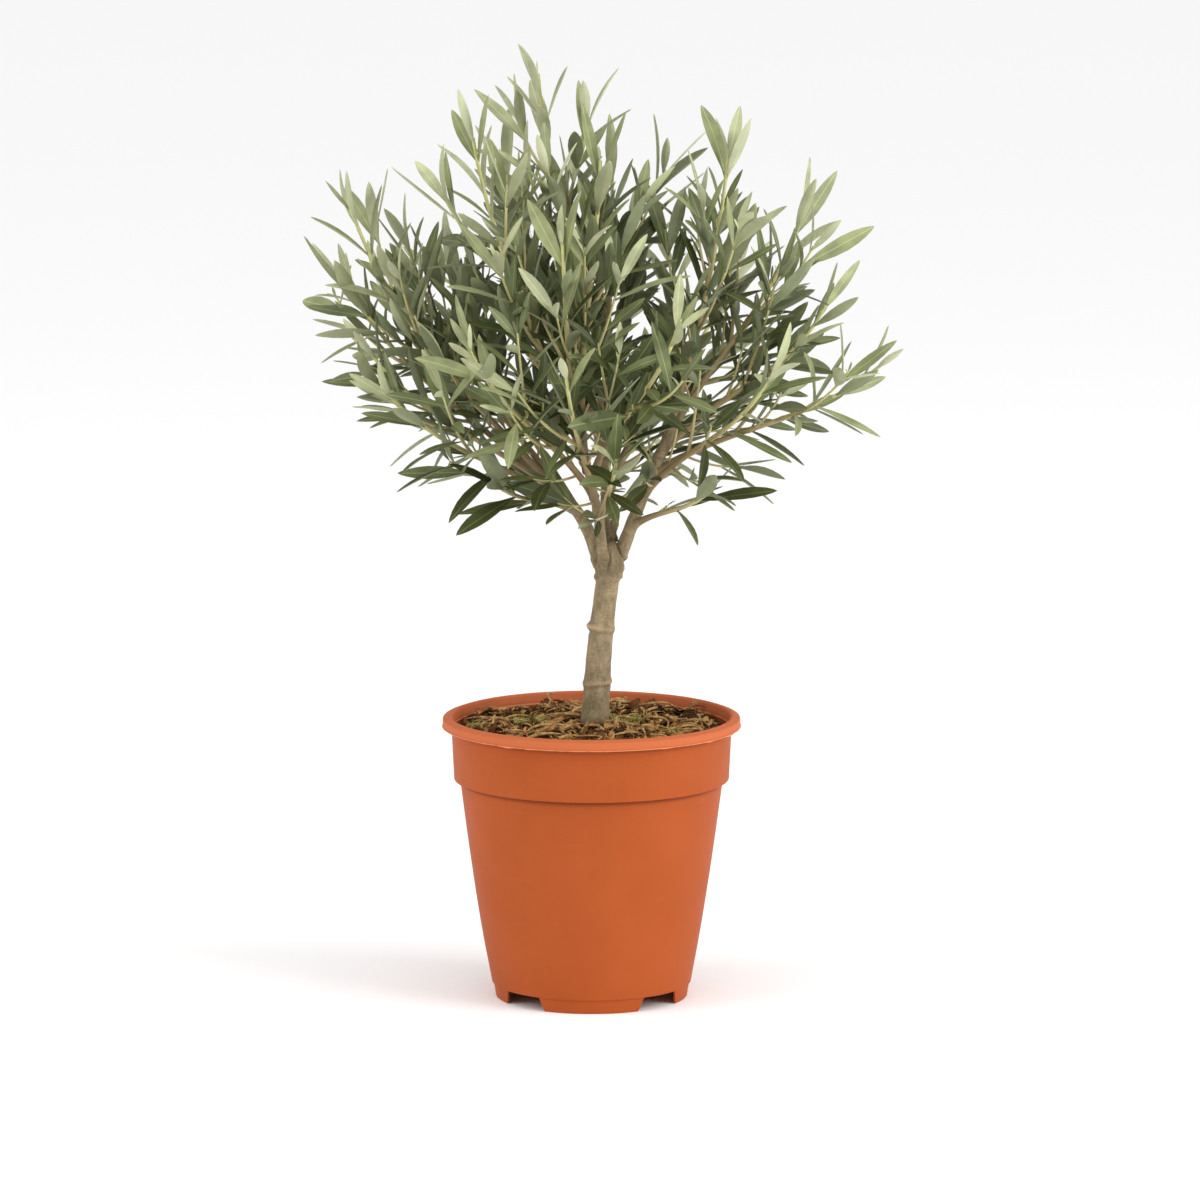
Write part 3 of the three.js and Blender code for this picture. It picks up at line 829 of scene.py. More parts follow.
def trunk_radius(height):
    """The trunk's radius: a cone with a flare at the foot, swellings, and a round end."""
    rise = min(1, (height - TRUNK["foot"]) / (TRUNK["fork"] - TRUNK["foot"]))
    radius = mix(TRUNK["foot_radius"], TRUNK["fork_radius"], rise)
    radius += TRUNK["flare"] * math.exp(-(height - TRUNK["foot"]) / TRUNK["flare_height"])
    for middle, size, reach in SWELLINGS:
        radius += size * math.exp(-(((height - middle) / reach) ** 2))
    cap = max(0, (height - TRUNK["stub"]) / (TRUNK["top"] + TRUNK["past_top"] - TRUNK["stub"]))
    return radius * math.sqrt(1 - cap * cap)


def line_along(path, start, end, step, radius_at, age_at):
    """A strand along part of a path: points every step millimetres, with a radius and an age."""
    count = max(2, round(path.length * (end - start) / step))
    shares = [mix(start, end, i / count) for i in range(count + 1)]
    points = [path.at(s) for s in shares]
    return points, [radius_at(s) for s in shares], [age_at(s) for s in shares]


def limb_line(name):
    """The strand of a limb, an even cone."""
    head, end = LIMBS[name]["radii"]
    return line_along(limb_paths[name], 0, 1, LIMB_STEP, lambda s: mix(head, end, s), grown_up)


def collar_line(path):
    """The strand of a shoot's first few millimetres, wide where it leaves the limb."""
    reach = COLLAR["length"] / path.length

    def radius_at(s):
        return BOUGH["head"] * mix(COLLAR["swell"], COLLAR["end"], (s / reach) ** COLLAR["fall"])

    return line_along(path, 0, reach, COLLAR_STEP, radius_at, grown_up)


def snag_radius(share):
    """The dead snag: a thin cone with a few knots."""
    return SNAG["radius"] - SNAG["taper"] * share + SNAG["knots"] * math.sin(SNAG["knot_beat"] * share)


trunk_line = line_along(trunk_path, 0, 1, TRUNK_STEP, lambda s: trunk_radius(trunk_path.at(s).z), grown_up)
limb_lines = [limb_line(name) for name in LIMBS]
collar_lines = [collar_line(path) for path in shoot_paths.values()]
snag_line = line_along(bezier(*SNAG_ROUTE), 0, 1, SNAG_STEP, snag_radius, grown_up)
skin_lines = [trunk_line, *limb_lines, *collar_lines, snag_line]
wood = sweep.run(strands("trunk_and_limbs", skin_lines), Sides=SKIN_SIDES)
remesh = wood.modifiers.new("melt", "REMESH")
remesh.mode = "VOXEL"
remesh.voxel_size = SKIN_VOXEL * MM
smooth = wood.modifiers.new("soften", "SMOOTH")
smooth.factor = SOFTEN["factor"]
smooth.iterations = SOFTEN["rounds"]
made_plain(wood)
print("trunk and limbs:", len(wood.data.polygons), "faces")

# %% [markdown]
# ### Relief of the bark
#
# Young olive bark is smooth and grey, with shallow lengthwise folds, raised pores in loose rows and a
# few rings where old shoots were pruned. Where two limbs grow against each other the bark is pinched
# into a groove, and pushed up beside it. A displacement texture would run the same way everywhere.
# Here every point of the skin finds the nearest line of growth instead, so the folds run along the
# limb that the point is on, whichever way it leans.

# %% Bark relief
FOLD = {"across": 1.3, "along": 9.0, "height": 0.22}
PORE = {"spacing": 3.4, "height": 0.3, "share": 0.3, "steepness": 3.2}
RING = {"spacing": 11.0, "height": 0.22, "waviness": 0.4, "from": 0.25}
RIDGE = {
    "low": 236.0, "high": 282.0, "fade_in": 6, "fade_out": 8,
    "groove": 0.75, "groove_reach": 0.55, "fold": 0.6, "fold_at": 1.5, "fold_reach": 0.8,
}
KNUCKLES = [  # height, how far out, its reach up and down, the side it leans to, its share all round
    (163.0, 0.4, 2.2, 0.4, 0.7), (181.5, 0.85, 1.3, 0.3, 0.75), (213.0, 1.3, 1.7, math.pi, 0.62),
    (242.0, 0.5, 1.5, 1.2, 0.8), (247.5, 0.28, 1.3, 4.0, 0.7),
]
KNUCKLE_TOP = 252
KNUCKLE_GROOVE = 0.4


def knuckle(spot, out):
    """The scars round the trunk where its first side shoots were cut: a ledge with a groove under it."""
    turn = math.atan2(out.y, out.x)
    height = 0.0
    for middle, size, reach, side, evenness in KNUCKLES:
        sway = reach * (0.6 * math.cos(turn - side) + 0.5 * noise.noise(Vector((turn, middle, 0.0))))
        rise = (spot.z - middle - sway) / reach
        share = evenness + (1 - evenness) * math.cos(turn - side)
        groove = KNUCKLE_GROOVE * math.exp(-((rise + 2) ** 2) * 2)
        height += size * share * (math.exp(-rise * rise) - groove)
    return height


def depth_tree(points, radii):
    """A search tree over one line, with the radius at each of its points."""
    tree = kdtree.KDTree(len(points))
    for number, p in enumerate(points):
        tree.insert(p, number)
    tree.balance()
    return tree, radii


depth_trees = [depth_tree(points, radii) for points, radii, _ in [trunk_line, *limb_lines]]


def ridge(spot):
    """The groove between two limbs, or a limb and the trunk, with the bark pushed up beside it."""
    depths = []
    for tree, radii in depth_trees:
        _, number, distance = tree.find(spot)
        depths.append(distance - radii[number])
    depths.sort()
    apart = depths[1] - depths[0]
    above, below = (spot.z - RIDGE["low"]) / RIDGE["fade_in"], (RIDGE["high"] - spot.z) / RIDGE["fade_out"]
    groove = RIDGE["groove"] * math.exp(-((apart / RIDGE["groove_reach"]) ** 2))
    fold = RIDGE["fold"] * math.exp(-(((apart - RIDGE["fold_at"]) / RIDGE["fold_reach"]) ** 2))
    return min(1, above, below) * (fold - groove)


def relief(spot, axis_spot, heading, along):
    """How far, in millimetres, a point of the bark stands out: folds, pores, rings and ridges."""
    out = spot - axis_spot
    side = heading.orthogonal().normalized() if abs(heading.z) < 0.95 else ACROSS
    turn = math.atan2(out.dot(heading.cross(side)), out.dot(side))
    round_x = math.cos(turn) * out.length / FOLD["across"]
    round_y = math.sin(turn) * out.length / FOLD["across"]
    height = FOLD["height"] * noise.fractal(Vector((round_x, round_y, along / FOLD["along"])), 0.6, 2.1, 3)
    if noise.cell(spot / PORE["spacing"]) > 1 - PORE["share"]:
        distance = noise.voronoi(spot / PORE["spacing"], distance_metric="DISTANCE")[0][0]
        height += PORE["height"] * max(0, 1 - distance * PORE["steepness"])
    ring = noise.noise(Vector((along / RING["spacing"], out.normalized().x * RING["waviness"], 7.0)))
    height += RING["height"] * max(0, ring - RING["from"]) * 2
    if RIDGE["low"] < spot.z < RIDGE["high"]:
        height += ridge(spot)
    return height

# %% [markdown]
# The relief is pressed into the skin point by point. A tree over the growth lines answers which part
# of which line is nearest, how it runs there, and how far along it the point is. How much a point
# belongs to a scar is stored as well, because cut bark heals paler.

# %% The relief pressed in
SCAR_FROM = 0.2

axis_tree = kdtree.KDTree(sum(len(points) for points, _, _ in skin_lines))
axis_facts = []
for points, _, _ in skin_lines:
    travelled = 0.0
    for i, p in enumerate(points):
        ahead = points[min(i + 1, len(points) - 1)]
        behind = points[max(i - 1, 0)]
        travelled += (p - behind).length
        axis_tree.insert(p, len(axis_facts))
        axis_facts.append((p, (ahead - behind).normalized(), travelled))
axis_tree.balance()

scars = []
for vertex, normal in [(v, v.normal.copy()) for v in wood.data.vertices]:
    spot = vertex.co / MM
    _, index, _ = axis_tree.find(spot)
    axis_spot, heading, along = axis_facts[index]
    ledge = knuckle(spot, spot - axis_spot) if spot.z < KNUCKLE_TOP else 0.0
    scars.append(max(0.0, min(1.0, ledge - SCAR_FROM)))
    vertex.co += normal * (relief(spot, axis_spot, heading, along) + ledge) * MM
wood.data.attributes.new("scar", "FLOAT", "POINT").data.foreach_set("value", scars)
floor_height = TRUNK["foot"] * MM
for vertex in wood.data.vertices:
    vertex.co.z = max(vertex.co.z, floor_height)
wood.data.shade_smooth()
print("points of bark with a scar:", sum(scar > 0 for scar in scars), "of", len(scars))

# %% [markdown]
# ### The bark's finish
#
# Grey-tan, with cloudy darker patches, a greenish-brown foot where soil splashes, and paler pores.
# The scars where shoots were cut have healed paler still, so the number stored on the skin lightens
# them. A painted bark would need the trunk unwrapped. Layers of noise need nothing but a place.

# %% Bark finish
SPLASH = (156, 178)

bark = Finish("olive_bark", roughness=0.82, Specular_IOR_Level=0.25)
patches = bark.noise(7, detail=6, roughness=0.65, stretch=(1, 1, 0.55)).between(0.34, 0.68)
streaks = bark.noise(1.4, detail=5, roughness=0.7, stretch=(1, 1, 0.4)).between(0.35, 0.7)
wrinkles = bark.noise(1.1, detail=4, roughness=0.7, stretch=(0.3, 0.3, 1.5)).between(0.4, 0.66)
specks = bark.noise(0.9, detail=2, stretch=(0.8, 0.8, 1.2)).between(0.63, 0.71)
foot_shade = 1 - bark.height().between(*SPLASH)
bark_colour = bark.blend(paint(132, 119, 89), paint(184, 162, 128), patches)
bark_colour = bark.blend(bark_colour, paint(110, 96, 70), (1 - streaks) * 0.28)
bark_colour = bark.blend(bark_colour, paint(106, 92, 68), (1 - wrinkles) * 0.32)
bark_colour = bark.blend(bark_colour, paint(206, 180, 150), specks * 0.7)
bark_colour = bark.blend(bark_colour, paint(202, 174, 140), bark.attribute("scar") * 0.7)
bark.set(Base_Color=bark.blend(bark_colour, paint(112, 98, 66), foot_shade * 0.55))
bark.set(Roughness=patches * 0.12 + 0.72)
fine_grain = bark.noise(0.6, detail=5, roughness=0.7)
bark.bump(fine_grain + patches * 0.5 + wrinkles * 0.6 + specks * 0.4, 0.3, 0.8)
wood.data.materials.clear()
wood.data.materials.append(bark.material)
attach(wood, "root")
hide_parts("trunk", *named_nodes("limb_"))
print(bark.material.name, len(bark.tree.nodes), "nodes")

# %% [markdown]
# Young shoots are another thing: tan where they leave the limb, straw and then green-yellow at the
# tip. Their age is stored on the strand, so one finish serves them all, whatever their length.

# %% Shoot finish
shoot_bark = Finish("shoot_bark", roughness=0.6, Specular_IOR_Level=0.35)
age = shoot_bark.attribute("age")
grain = shoot_bark.noise(1.2, detail=4, roughness=0.6)
shoot_colour = shoot_bark.ramp(
    age + (grain - 0.5) * 0.25,
    (0.0, paint(192, 192, 130)), (0.2, paint(200, 190, 134)), (0.45, paint(180, 162, 114)),
    (0.7, paint(148, 126, 90)), (1.0, paint(134, 115, 88)),
)
shoot_bark.set(Base_Color=shoot_colour)
shoot_bark.set(Roughness=grain * 0.2 + 0.5)
shoot_bark.bump(grain, 0.12, 0.5)
print(shoot_bark.material.name, len(shoot_bark.tree.nodes), "nodes")

# %% [markdown]
# ## Growing the crown
#
# An olive carries its leaves in pairs, and each pair is turned a quarter from the last. Side twigs
# come from the same places, and move on round the stem from one to the next. The rule is the one the
# solids follow: a twig opens from its stem at a little over thirty degrees and bends upwards. Between
# the coarse stations come finer twigs, and the leaves stand a finger's width apart.
#
# Each twig rolls its own row of numbers, from a seed made of the shoot's number and its own. So one
# twig can be left out without changing any other.

# %% Growth rule
TWIG = {
    "station": 19, "sparser": 0.6, "first": 5, "first_level": 14, "bare_tip": 62,
    "quarter": math.pi / 2, "turn_spread": 0.5, "spread": 0.58, "spread_spread": 0.16,
    "longest": 70, "shortest": 38, "length_spread": 0.3, "rise": 0.9,
    "root": 1.1, "end": 0.55, "fine_root": 0.8, "fine_share": 0.55, "fine_end": 0.45,
    "floor": 250, "room": 1.0, "past_bough": 0.3,
}
LEAF = {
    "gap": 17.0, "gap_on_twig": 14.0, "gap_spread": 0.18,
    "first_on_twig": 10, "first_on_stem": 0.05, "first_level": 0.18, "from_tip": 0.4,
    "length": 37, "length_spread": 0.26, "width_share": 0.192, "width_spread": 0.2,
    "young_spread": 0.36, "old_spread": 0.8, "old_after": 110, "spread_spread": 0.25,
    "clear": 2.8, "room": 1.5, "in_box": 1, "droop": 0.62, "stray": 0.25, "roll": 0.4,
    "open_inside": 0.5, "open_below": 0.75,
}
LEAF_SPOTS = (0.35, 0.6, 0.85)  # where along a leaf its room is looked at
YOUNG_PAIRS = [(0.22, 0.16, 4), (0.82, 0.27, 9), (1.05, 0.36, 17)]  # from the tip: length, spread, gap
LINE_STEP = 2.2
SHOOT_SEEDS, FINE_SEEDS, SPUR_SEEDS, STEM_SEEDS = 1000, 500, 777, 999  # steps that keep seeds apart


def sideways(along, turn):
    """A direction at right angles to along, turned about it."""
    level = UP if abs(along.z) < 0.9 else ACROSS
    return Quaternion(along, turn) @ along.cross(level).normalized()


def opened(along, turn, spread):
    """A direction that opens from along by spread, on the side that turn gives."""
    return (along * math.cos(spread) + sideways(along, turn) * math.sin(spread)).normalized()


class Shoot:
    """A main shoot: its bough and stem, its twigs, and the leaves on them."""

    def __init__(self, name, index):
        self.name = name
        self.index = index
        self.path = shoot_paths[name]
        self.stem_start = BOUGH["share"] + TWIG["past_bough"] / self.path.length
        self.stem_length = self.path.length * (1 - self.stem_start)
        self.level = 1 - SHOOTS[name][3]
        self.sparse = 1 + TWIG["sparser"] * self.level

    def rolls(self, seed_step):
        """The chances of one of its parts, the same on every run."""
        return Rolls(SEED + self.index * SHOOT_SEEDS + seed_step)

    def at(self, share):
        """The point at a share of the stem."""
        return self.path.at(mix(self.stem_start, 1, share))

    def heading(self, share):
        """The direction of the stem at a share of it."""
        return self.path.heading(mix(self.stem_start, 1, share))

    def along(self, station, fine):
        """How far up the stem a station stands, in millimetres; level shoots have them further apart."""
        first = TWIG["first"] + TWIG["first_level"] * self.level
        return first + (station + (0.5 if fine else 0)) * TWIG["station"] * self.sparse

    def twig(self, station, fine):
        """The path of the side twig at a station; fine ones stand half way between the coarse."""
        rolls = self.rolls(station + (FINE_SEEDS if fine else 0))
        share = self.along(station, fine) / self.stem_length
        along = self.heading(share)
        turn = self.index + (station + (0.65 if fine else 0)) * TWIG["quarter"] * 1.5
        turn += TWIG["turn_spread"] * (2 * rolls() - 1)
        length = rolls.vary(mix(TWIG["longest"], TWIG["shortest"], share), TWIG["length_spread"])
        length *= TWIG["fine_share"] if fine else 1
        out = opened(along, turn, rolls.vary(TWIG["spread"], TWIG["spread_spread"]))
        length *= 1 + min(0, out.z)
        root = self.at(share)
        bend = root + out * length / 2
        rising = (out + UP * TWIG["rise"]).normalized()
        return bezier(root, bend, bend + rising * length / 2), rolls, share


shoots = [Shoot(name, index) for index, name in enumerate(SHOOTS)]
wood_radii = [r for _, radii, _ in skin_lines for r in radii]


def clear_of_wood(spot, room):
    """Whether a point keeps off the trunk and limbs and above the lowest foliage."""
    _, index, distance = axis_tree.find(spot)
    return spot.z > TWIG["floor"] and distance > wood_radii[index] + room


print("main shoots:", len(shoots), "with stems of", round(sum(shoot.stem_length for shoot in shoots)), "mm")

# %% [markdown]
# The leaves are only points at first. Each has a root, the three directions of its blade, a length
# and a width, the shape it takes from a small set, and a tone. A leaf that would come too close to
# another, or to the wood, is left out, as the real plant drops what it shades. To look for neighbours
# among all the leaves would take long, so the leaves are kept in a grid of small cells.
#
# Tones go by place: deep inside and low, green and grey further out, light on top and young at the
# tips. The deep and light tones are painted shade and painted light, darker where the crown shades
# its own leaves and paler where light falls on top; the young tone is the age of the tip leaves. So
# no leaf's colour has to be chosen.

# %% Leaves as points
CROWN_MIDDLE = Vector((6, 4, 380))
CROWN_RADII = Vector((165, 150, 150))
TONES = ("deep", "green", "grey", "light", "young")
TONE_LIMITS = ((0.52, "deep"), (0.84, "green"), (1.16, "grey"))
TONE_HEIGHT, TONE_CHANCE = 0.42, 0.5
SHAPES = 6
CELL = 6.0
NEIGHBOURS = [(dx, dy, dz) for dx in (-1, 0, 1) for dy in (-1, 0, 1) for dz in (-1, 0, 1)]
leaf_rows = []
leaf_cells = {}


def cell_of(spot):
    """The cell of the grid that a spot lies in."""
    return tuple(int(c // CELL) for c in spot)


def nearby(spot):
    """The leaf spots in a spot's own cell and in the twenty-six round it."""
    x, y, z = cell_of(spot)
    for dx, dy, dz in NEIGHBOURS:
        yield from leaf_cells.get((x + dx, y + dy, z + dz), ())


def crowded(spots):
    """Whether any of these spots is too near a leaf that is already there."""
    return any((other - spot).length < LEAF["clear"] for spot in spots for other in nearby(spot))


def tone_of(spot, rolls, from_tip):
    """Deep tones inside and low down for painted shade, light ones outside and high up for painted light,
    young ones at the tips.
    """
    offset = spot - CROWN_MIDDLE
    outward = math.sqrt(sum((c / r) ** 2 for c, r in zip(offset, CROWN_RADII)))
    # the score stands for how much light reaches the leaf: low means painted shade, high painted light
    score = outward + TONE_HEIGHT * offset.z / CROWN_RADII.z + TONE_CHANCE * (rolls() - 0.5)
    if from_tip < 2 and score > 0.7:
        return "young" if (from_tip == 0 and score > 0.9) or rolls() < 0.3 else "light"
    for limit, tone in TONE_LIMITS:
        if score < limit:
            return tone
    return "light"

# %% Adding leaves
def add_leaf(rolls, along, root, turn, spread, size, from_tip, age):
    """Tries one leaf and keeps it where there is room."""
    direction = opened(along, turn, spread)
    stray = Vector([rolls.spread(-1, 1) for _ in "xyz"]) * LEAF["stray"] * (0.3 + age)
    direction = (direction + stray - UP * LEAF["droop"] * age * rolls() * (1.1 - along.z)).normalized()
    length = rolls.vary(LEAF["length"] * size, LEAF["length_spread"])
    width = length * rolls.vary(LEAF["width_share"], LEAF["width_spread"]) * (1.12 if size < 0.7 else 1)
    roll = rolls.spread(-LEAF["roll"], LEAF["roll"])
    shape = int(rolls() * SHAPES)
    outward = Vector((root.x - CROWN_MIDDLE.x, root.y - CROWN_MIDDLE.y, 0)) / CROWN_RADII.x
    facing = along * 0.5 + outward * rolls.spread(0.1, 1.5) + UP * 0.45
    facing = (facing - direction * facing.dot(direction)).normalized()
    facing = Quaternion(direction, roll) @ facing
    spots = [root + direction * length * share for share in LEAF_SPOTS]
    tone = tone_of(spots[1], rolls, from_tip)
    if crowded(spots) or not all(clear_of_wood(s, LEAF["room"]) for s in spots):
        return
    tip, edge = root + direction * length, LEAF["in_box"]
    if not all(a + edge < c < b - edge for a, c, b in zip(CAD_BOX[0] / MM, tip, CAD_BOX[1] / MM)):
        return
    for spot in spots:
        leaf_cells.setdefault(cell_of(spot), []).append(spot)
    leaf_rows.append((root, direction, facing, length, width, shape, tone))


def add_pairs(rolls, path_at, heading_at, length, start, gap, openness=0.0):
    """Leaf pairs down a stem or twig from its tip, each a quarter turn from the last."""
    turn = rolls() * math.pi
    nodes = []
    along = length - LEAF["from_tip"]
    pair = 0
    while along > start:
        share = along / length
        age = min(1, (length - along) / LEAF["old_after"] + openness)
        size, spread, step = 1.0, mix(LEAF["young_spread"], LEAF["old_spread"], age), gap
        if pair < len(YOUNG_PAIRS):
            size, spread, step = YOUNG_PAIRS[pair]
            spread = mix(spread, LEAF["old_spread"], openness)
        heading = heading_at(share)
        for side in (0, math.pi):
            opening = rolls.vary(spread, LEAF["spread_spread"])
            add_leaf(rolls, heading, path_at(share), turn + side, opening, size, pair, age)
        nodes.append(share)
        turn += TWIG["quarter"]
        along -= rolls.vary(step, LEAF["gap_spread"])
        pair += 1
    return nodes

# %% [markdown]
# Every twig and stem gets its leaves first and its thickness after, because the wood swells a little
# where a pair of leaves stands. Old boughs carry spurs as well, short leafy shoots low inside the
# crown. The left limb's spreading shoots have lost theirs, so their wood is bare low down.

# %% Growing every shoot
SPUR = {
    "bare_limb": "left", "bare_level": 0.2, "first": 0.3, "gap": 11.0, "gap_spread": 0.3,
    "length": 30.0, "length_spread": 0.35, "spread": 1.0, "spread_spread": 0.25, "rise": 0.5,
    "root": 0.8, "age": 0.6,
}
NODE = {"swell": 0.22, "reach": 1.3}
TWIG_AGE = {"root": 0.5, "younger": 0.5}
STEM_RIPENING = (1.5, 0.9)
twig_lines = []
stem_lines = []


def knotted(radius_at, nodes, length):
    """A radius that swells a little at each leaf pair."""

    def radius(share):
        bumps = sum(math.exp(-(((share - node) * length / NODE["reach"]) ** 2)) for node in nodes)
        return radius_at(share) * (1 + NODE["swell"] * bumps)

    return radius


def grow_spurs(shoot):
    """Short leafy shoots that break from the bough itself, low inside the crown."""
    rolls = shoot.rolls(SPUR_SEEDS)
    bough_length = shoot.path.length * BOUGH["share"]
    along = bough_length * SPUR["first"]
    while along < bough_length:
        share = along / shoot.path.length
        turn = rolls() * 2 * math.pi
        out = opened(shoot.path.heading(share), turn, rolls.vary(SPUR["spread"], SPUR["spread_spread"]))
        length = rolls.vary(SPUR["length"], SPUR["length_spread"])
        root = shoot.path.at(share)
        bend = root + out * length / 2
        path = bezier(root, bend, bend + (out + UP * SPUR["rise"]).normalized() * length / 2)
        along += rolls.vary(SPUR["gap"], SPUR["gap_spread"])
        if not all(clear_of_wood(path.at(s), TWIG["room"]) for s in (0.5, 0.8, 1.0)):
            continue
        first, gap = LEAF["first_on_twig"], LEAF["gap_on_twig"]
        nodes = add_pairs(rolls, path.at, path.heading, path.length, first, gap)
        radius = knotted(lambda s: mix(SPUR["root"], TWIG["end"], s), nodes, path.length)
        twig_lines.append(line_along(path, 0, 1, LINE_STEP, radius, lambda s: SPUR["age"] * (1 - s)))


def grow_twigs(shoot, fine):
    """The coarse or the fine side twigs of a shoot, with their leaves; says how many."""
    grown = 0
    station = 0
    reach = shoot.stem_length * TWIG["fine_end"] if fine else shoot.stem_length - TWIG["bare_tip"]
    root = TWIG["root"] * (TWIG["fine_root"] if fine else 1)
    while shoot.along(station, fine) < reach:
        path, rolls, share = shoot.twig(station, fine)
        station += 1
        if not all(clear_of_wood(path.at(s), TWIG["room"]) for s in (0.3, 0.6, 1.0)):
            continue
        openness = min(1, LEAF["open_inside"] * (1 - share) + LEAF["open_below"] * shoot.level)
        gap = LEAF["gap_on_twig"] * shoot.sparse ** 0.5
        first = LEAF["first_on_twig"]
        nodes = add_pairs(rolls, path.at, path.heading, path.length, first, gap, openness)
        radius = knotted(lambda s: mix(root, TWIG["end"], s), nodes, path.length)
        oldest, youth = TWIG_AGE["root"], 1 - TWIG_AGE["younger"] * share
        twig_lines.append(line_along(path, 0, 1, LINE_STEP, radius, lambda s: oldest * (1 - s) * youth))
        grown += 1
    return grown


def grow(shoot):
    """The twigs, stem, leaves and spurs of one main shoot; says how many twigs."""
    grown = grow_twigs(shoot, False) + grow_twigs(shoot, True)
    start = shoot.stem_length * (LEAF["first_on_stem"] + LEAF["first_level"] * shoot.level)
    openness = 0.5 * LEAF["open_below"] * shoot.level
    rolls = shoot.rolls(STEM_SEEDS)
    nodes = add_pairs(rolls, shoot.at, shoot.heading, shoot.stem_length, start, LEAF["gap"], openness)
    nodes = [mix(shoot.stem_start, 1, n) for n in nodes]

    def radius_at(s):
        if s < BOUGH["share"]:
            return mix(BOUGH["head"], BOUGH["end"], s / BOUGH["share"])
        return mix(BOUGH["end"], STEM_END, (s - BOUGH["share"]) / (1 - BOUGH["share"]))

    radius = knotted(radius_at, nodes, shoot.path.length)
    ripening = mix(*STEM_RIPENING, shoot.level)
    stem_lines.append(line_along(shoot.path, 0, 1, LINE_STEP, radius, lambda s: (1 - s) ** ripening))
    if SHOOTS[shoot.name][0] != SPUR["bare_limb"] or shoot.level < SPUR["bare_level"]:
        grow_spurs(shoot)
    return grown


twig_count = sum(grow(shoot) for shoot in shoots)
spur_count = len(twig_lines) - twig_count
print("crown:", twig_count, "twigs,", spur_count, "spurs,", len(leaf_rows), "leaves")
print({tone: sum(row[-1] == tone for row in leaf_rows) for tone in TONES})

# %% [markdown]
# The lines of the crown's wood are swept like the trunk's, but they aren't melted together. Shoots
# this thin join theirs without a collar, so each may simply begin inside the wood that bears it. One
# object holds all the stems and another all the twigs, because single ones would be over a hundred.

# %% Stems and twigs
STEM_SIDES, TWIG_SIDES = 10, 6

stems = sweep.run(strands("boughs_and_stems", stem_lines), Sides=STEM_SIDES, Finish=shoot_bark.material)
twigs = sweep.run(strands("twigs", twig_lines), Sides=TWIG_SIDES, Finish=shoot_bark.material)
for piece, replaced in ((stems, "bough_"), (twigs, "foliage_")):
    piece.data.shade_smooth()
    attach(piece, "root")
    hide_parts(*named_nodes(replaced))
    print(piece.name, len(piece.data.polygons), "faces")

# %% [markdown]
# ## One leaf, many times
#
# An olive leaf is a narrow leathery blade on a very short stalk. Its upper side has a pale midrib
# in a shallow valley, and its underside is silvery. A flat card with a picture on it would be less
# work, but it has no thickness from the side. The blade here is one closed body with fifty-six faces:
# rings across the leaf, each with the two edges and the midrib's two sides, above and below. Six
# shapes differ in how they bend, so no two neighbours look stamped.

# %% Leaf shapes
LEAF_RINGS = (0.0, 0.05, 0.14, 0.27, 0.42, 0.58, 0.73, 0.86, 0.95, 1.0)
RING_POINTS = 6
STALK = 0.045
RIB_HALF = 0.035
RIB_DEPTH = 1.6
LEAF_THICK = 0.009
FLATNESS = 5


def leaf_half_width(t):
    """Half the blade's width at a share of its length: a short stalk, then a narrow ellipse."""
    blade = max(0.0, (t - STALK) / (1 - STALK))
    return max(0.5 * math.sin(math.pi * blade ** 1.12) ** 0.72, 0.07 if t < 0.1 else 0.0)


def leaf_template(number, bend, twist, fold):
    """A leaf one unit long and wide: it bends down its length, twists, and folds along its midrib."""
    vertices, faces, ribs, unders = [], [], [], []
    for t in LEAF_RINGS:
        half = leaf_half_width(t)
        rib = min(RIB_HALF, half * 0.6)
        sag = -bend * t * t + 0.3 * bend * t
        lift = fold * half
        thick = LEAF_THICK * (1.4 - 0.6 * t) if t < 1 else 0.001
        deep = -thick * RIB_DEPTH
        for x, z in ((-half, lift), (-rib, 0), (rib, 0), (half, lift), (rib, deep), (-rib, deep)):
            turn = twist * t
            spin_x = x * math.cos(turn) - z * math.sin(turn) * FLATNESS
            spin_z = x * math.sin(turn) / FLATNESS + z * math.cos(turn)
            vertices.append((spin_x / MM, t / MM, (sag + spin_z) / MM))
    for ring in range(len(LEAF_RINGS) - 1):
        low, high = ring * RING_POINTS, (ring + 1) * RING_POINTS
        for i in range(RING_POINTS):
            j = (i + 1) % RING_POINTS
            faces.append((low + i, low + j, high + j, high + i))
            ribs.append(i in (1, 4))
            unders.append(i in (3, 4, 5))
    faces.append(tuple(reversed(range(RING_POINTS))))
    faces.append(tuple(range(len(vertices) - RING_POINTS, len(vertices))))
    ribs += [True, False]
    unders += [False, False]
    made = plain_mesh("leaf_shape_%d" % number, vertices, faces)
    made.data.attributes.new("rib", "BOOLEAN", "FACE").data.foreach_set("value", ribs)
    made.data.attributes.new("under", "BOOLEAN", "FACE").data.foreach_set("value", unders)
    margins = [set(v % RING_POINTS for v in edge.vertices) in ({0}, {3}) for edge in made.data.edges]
    made.data.attributes.new("sharp_edge", "BOOLEAN", "EDGE").data.foreach_set("value", margins)
    return made


LEAF_FORMS = [  # how it bends, twists and folds
    (0.02, 0.0, 0.03), (0.08, 0.25, 0.04), (-0.05, -0.2, 0.025),
    (0.14, 0.1, 0.045), (0.05, -0.4, 0.03), (0.2, 0.3, 0.05),
]


def shape_set(name, shapes):
    """A collection of shapes, out of the scene, for a Geometry Nodes tree to pick from."""
    collection = bpy.data.collections.new(name)
    for made in shapes:
        bpy.context.scene.collection.objects.unlink(made)
        collection.objects.link(made)
    return collection


def thrown_away(collection):
    """Removes a collection of shapes with the shapes in it."""
    for template in list(collection.objects):
        bpy.data.objects.remove(template)
    bpy.data.collections.remove(collection)


leaf_shapes = shape_set("leaf_shapes", [leaf_template(n, *form) for n, form in enumerate(LEAF_FORMS)])

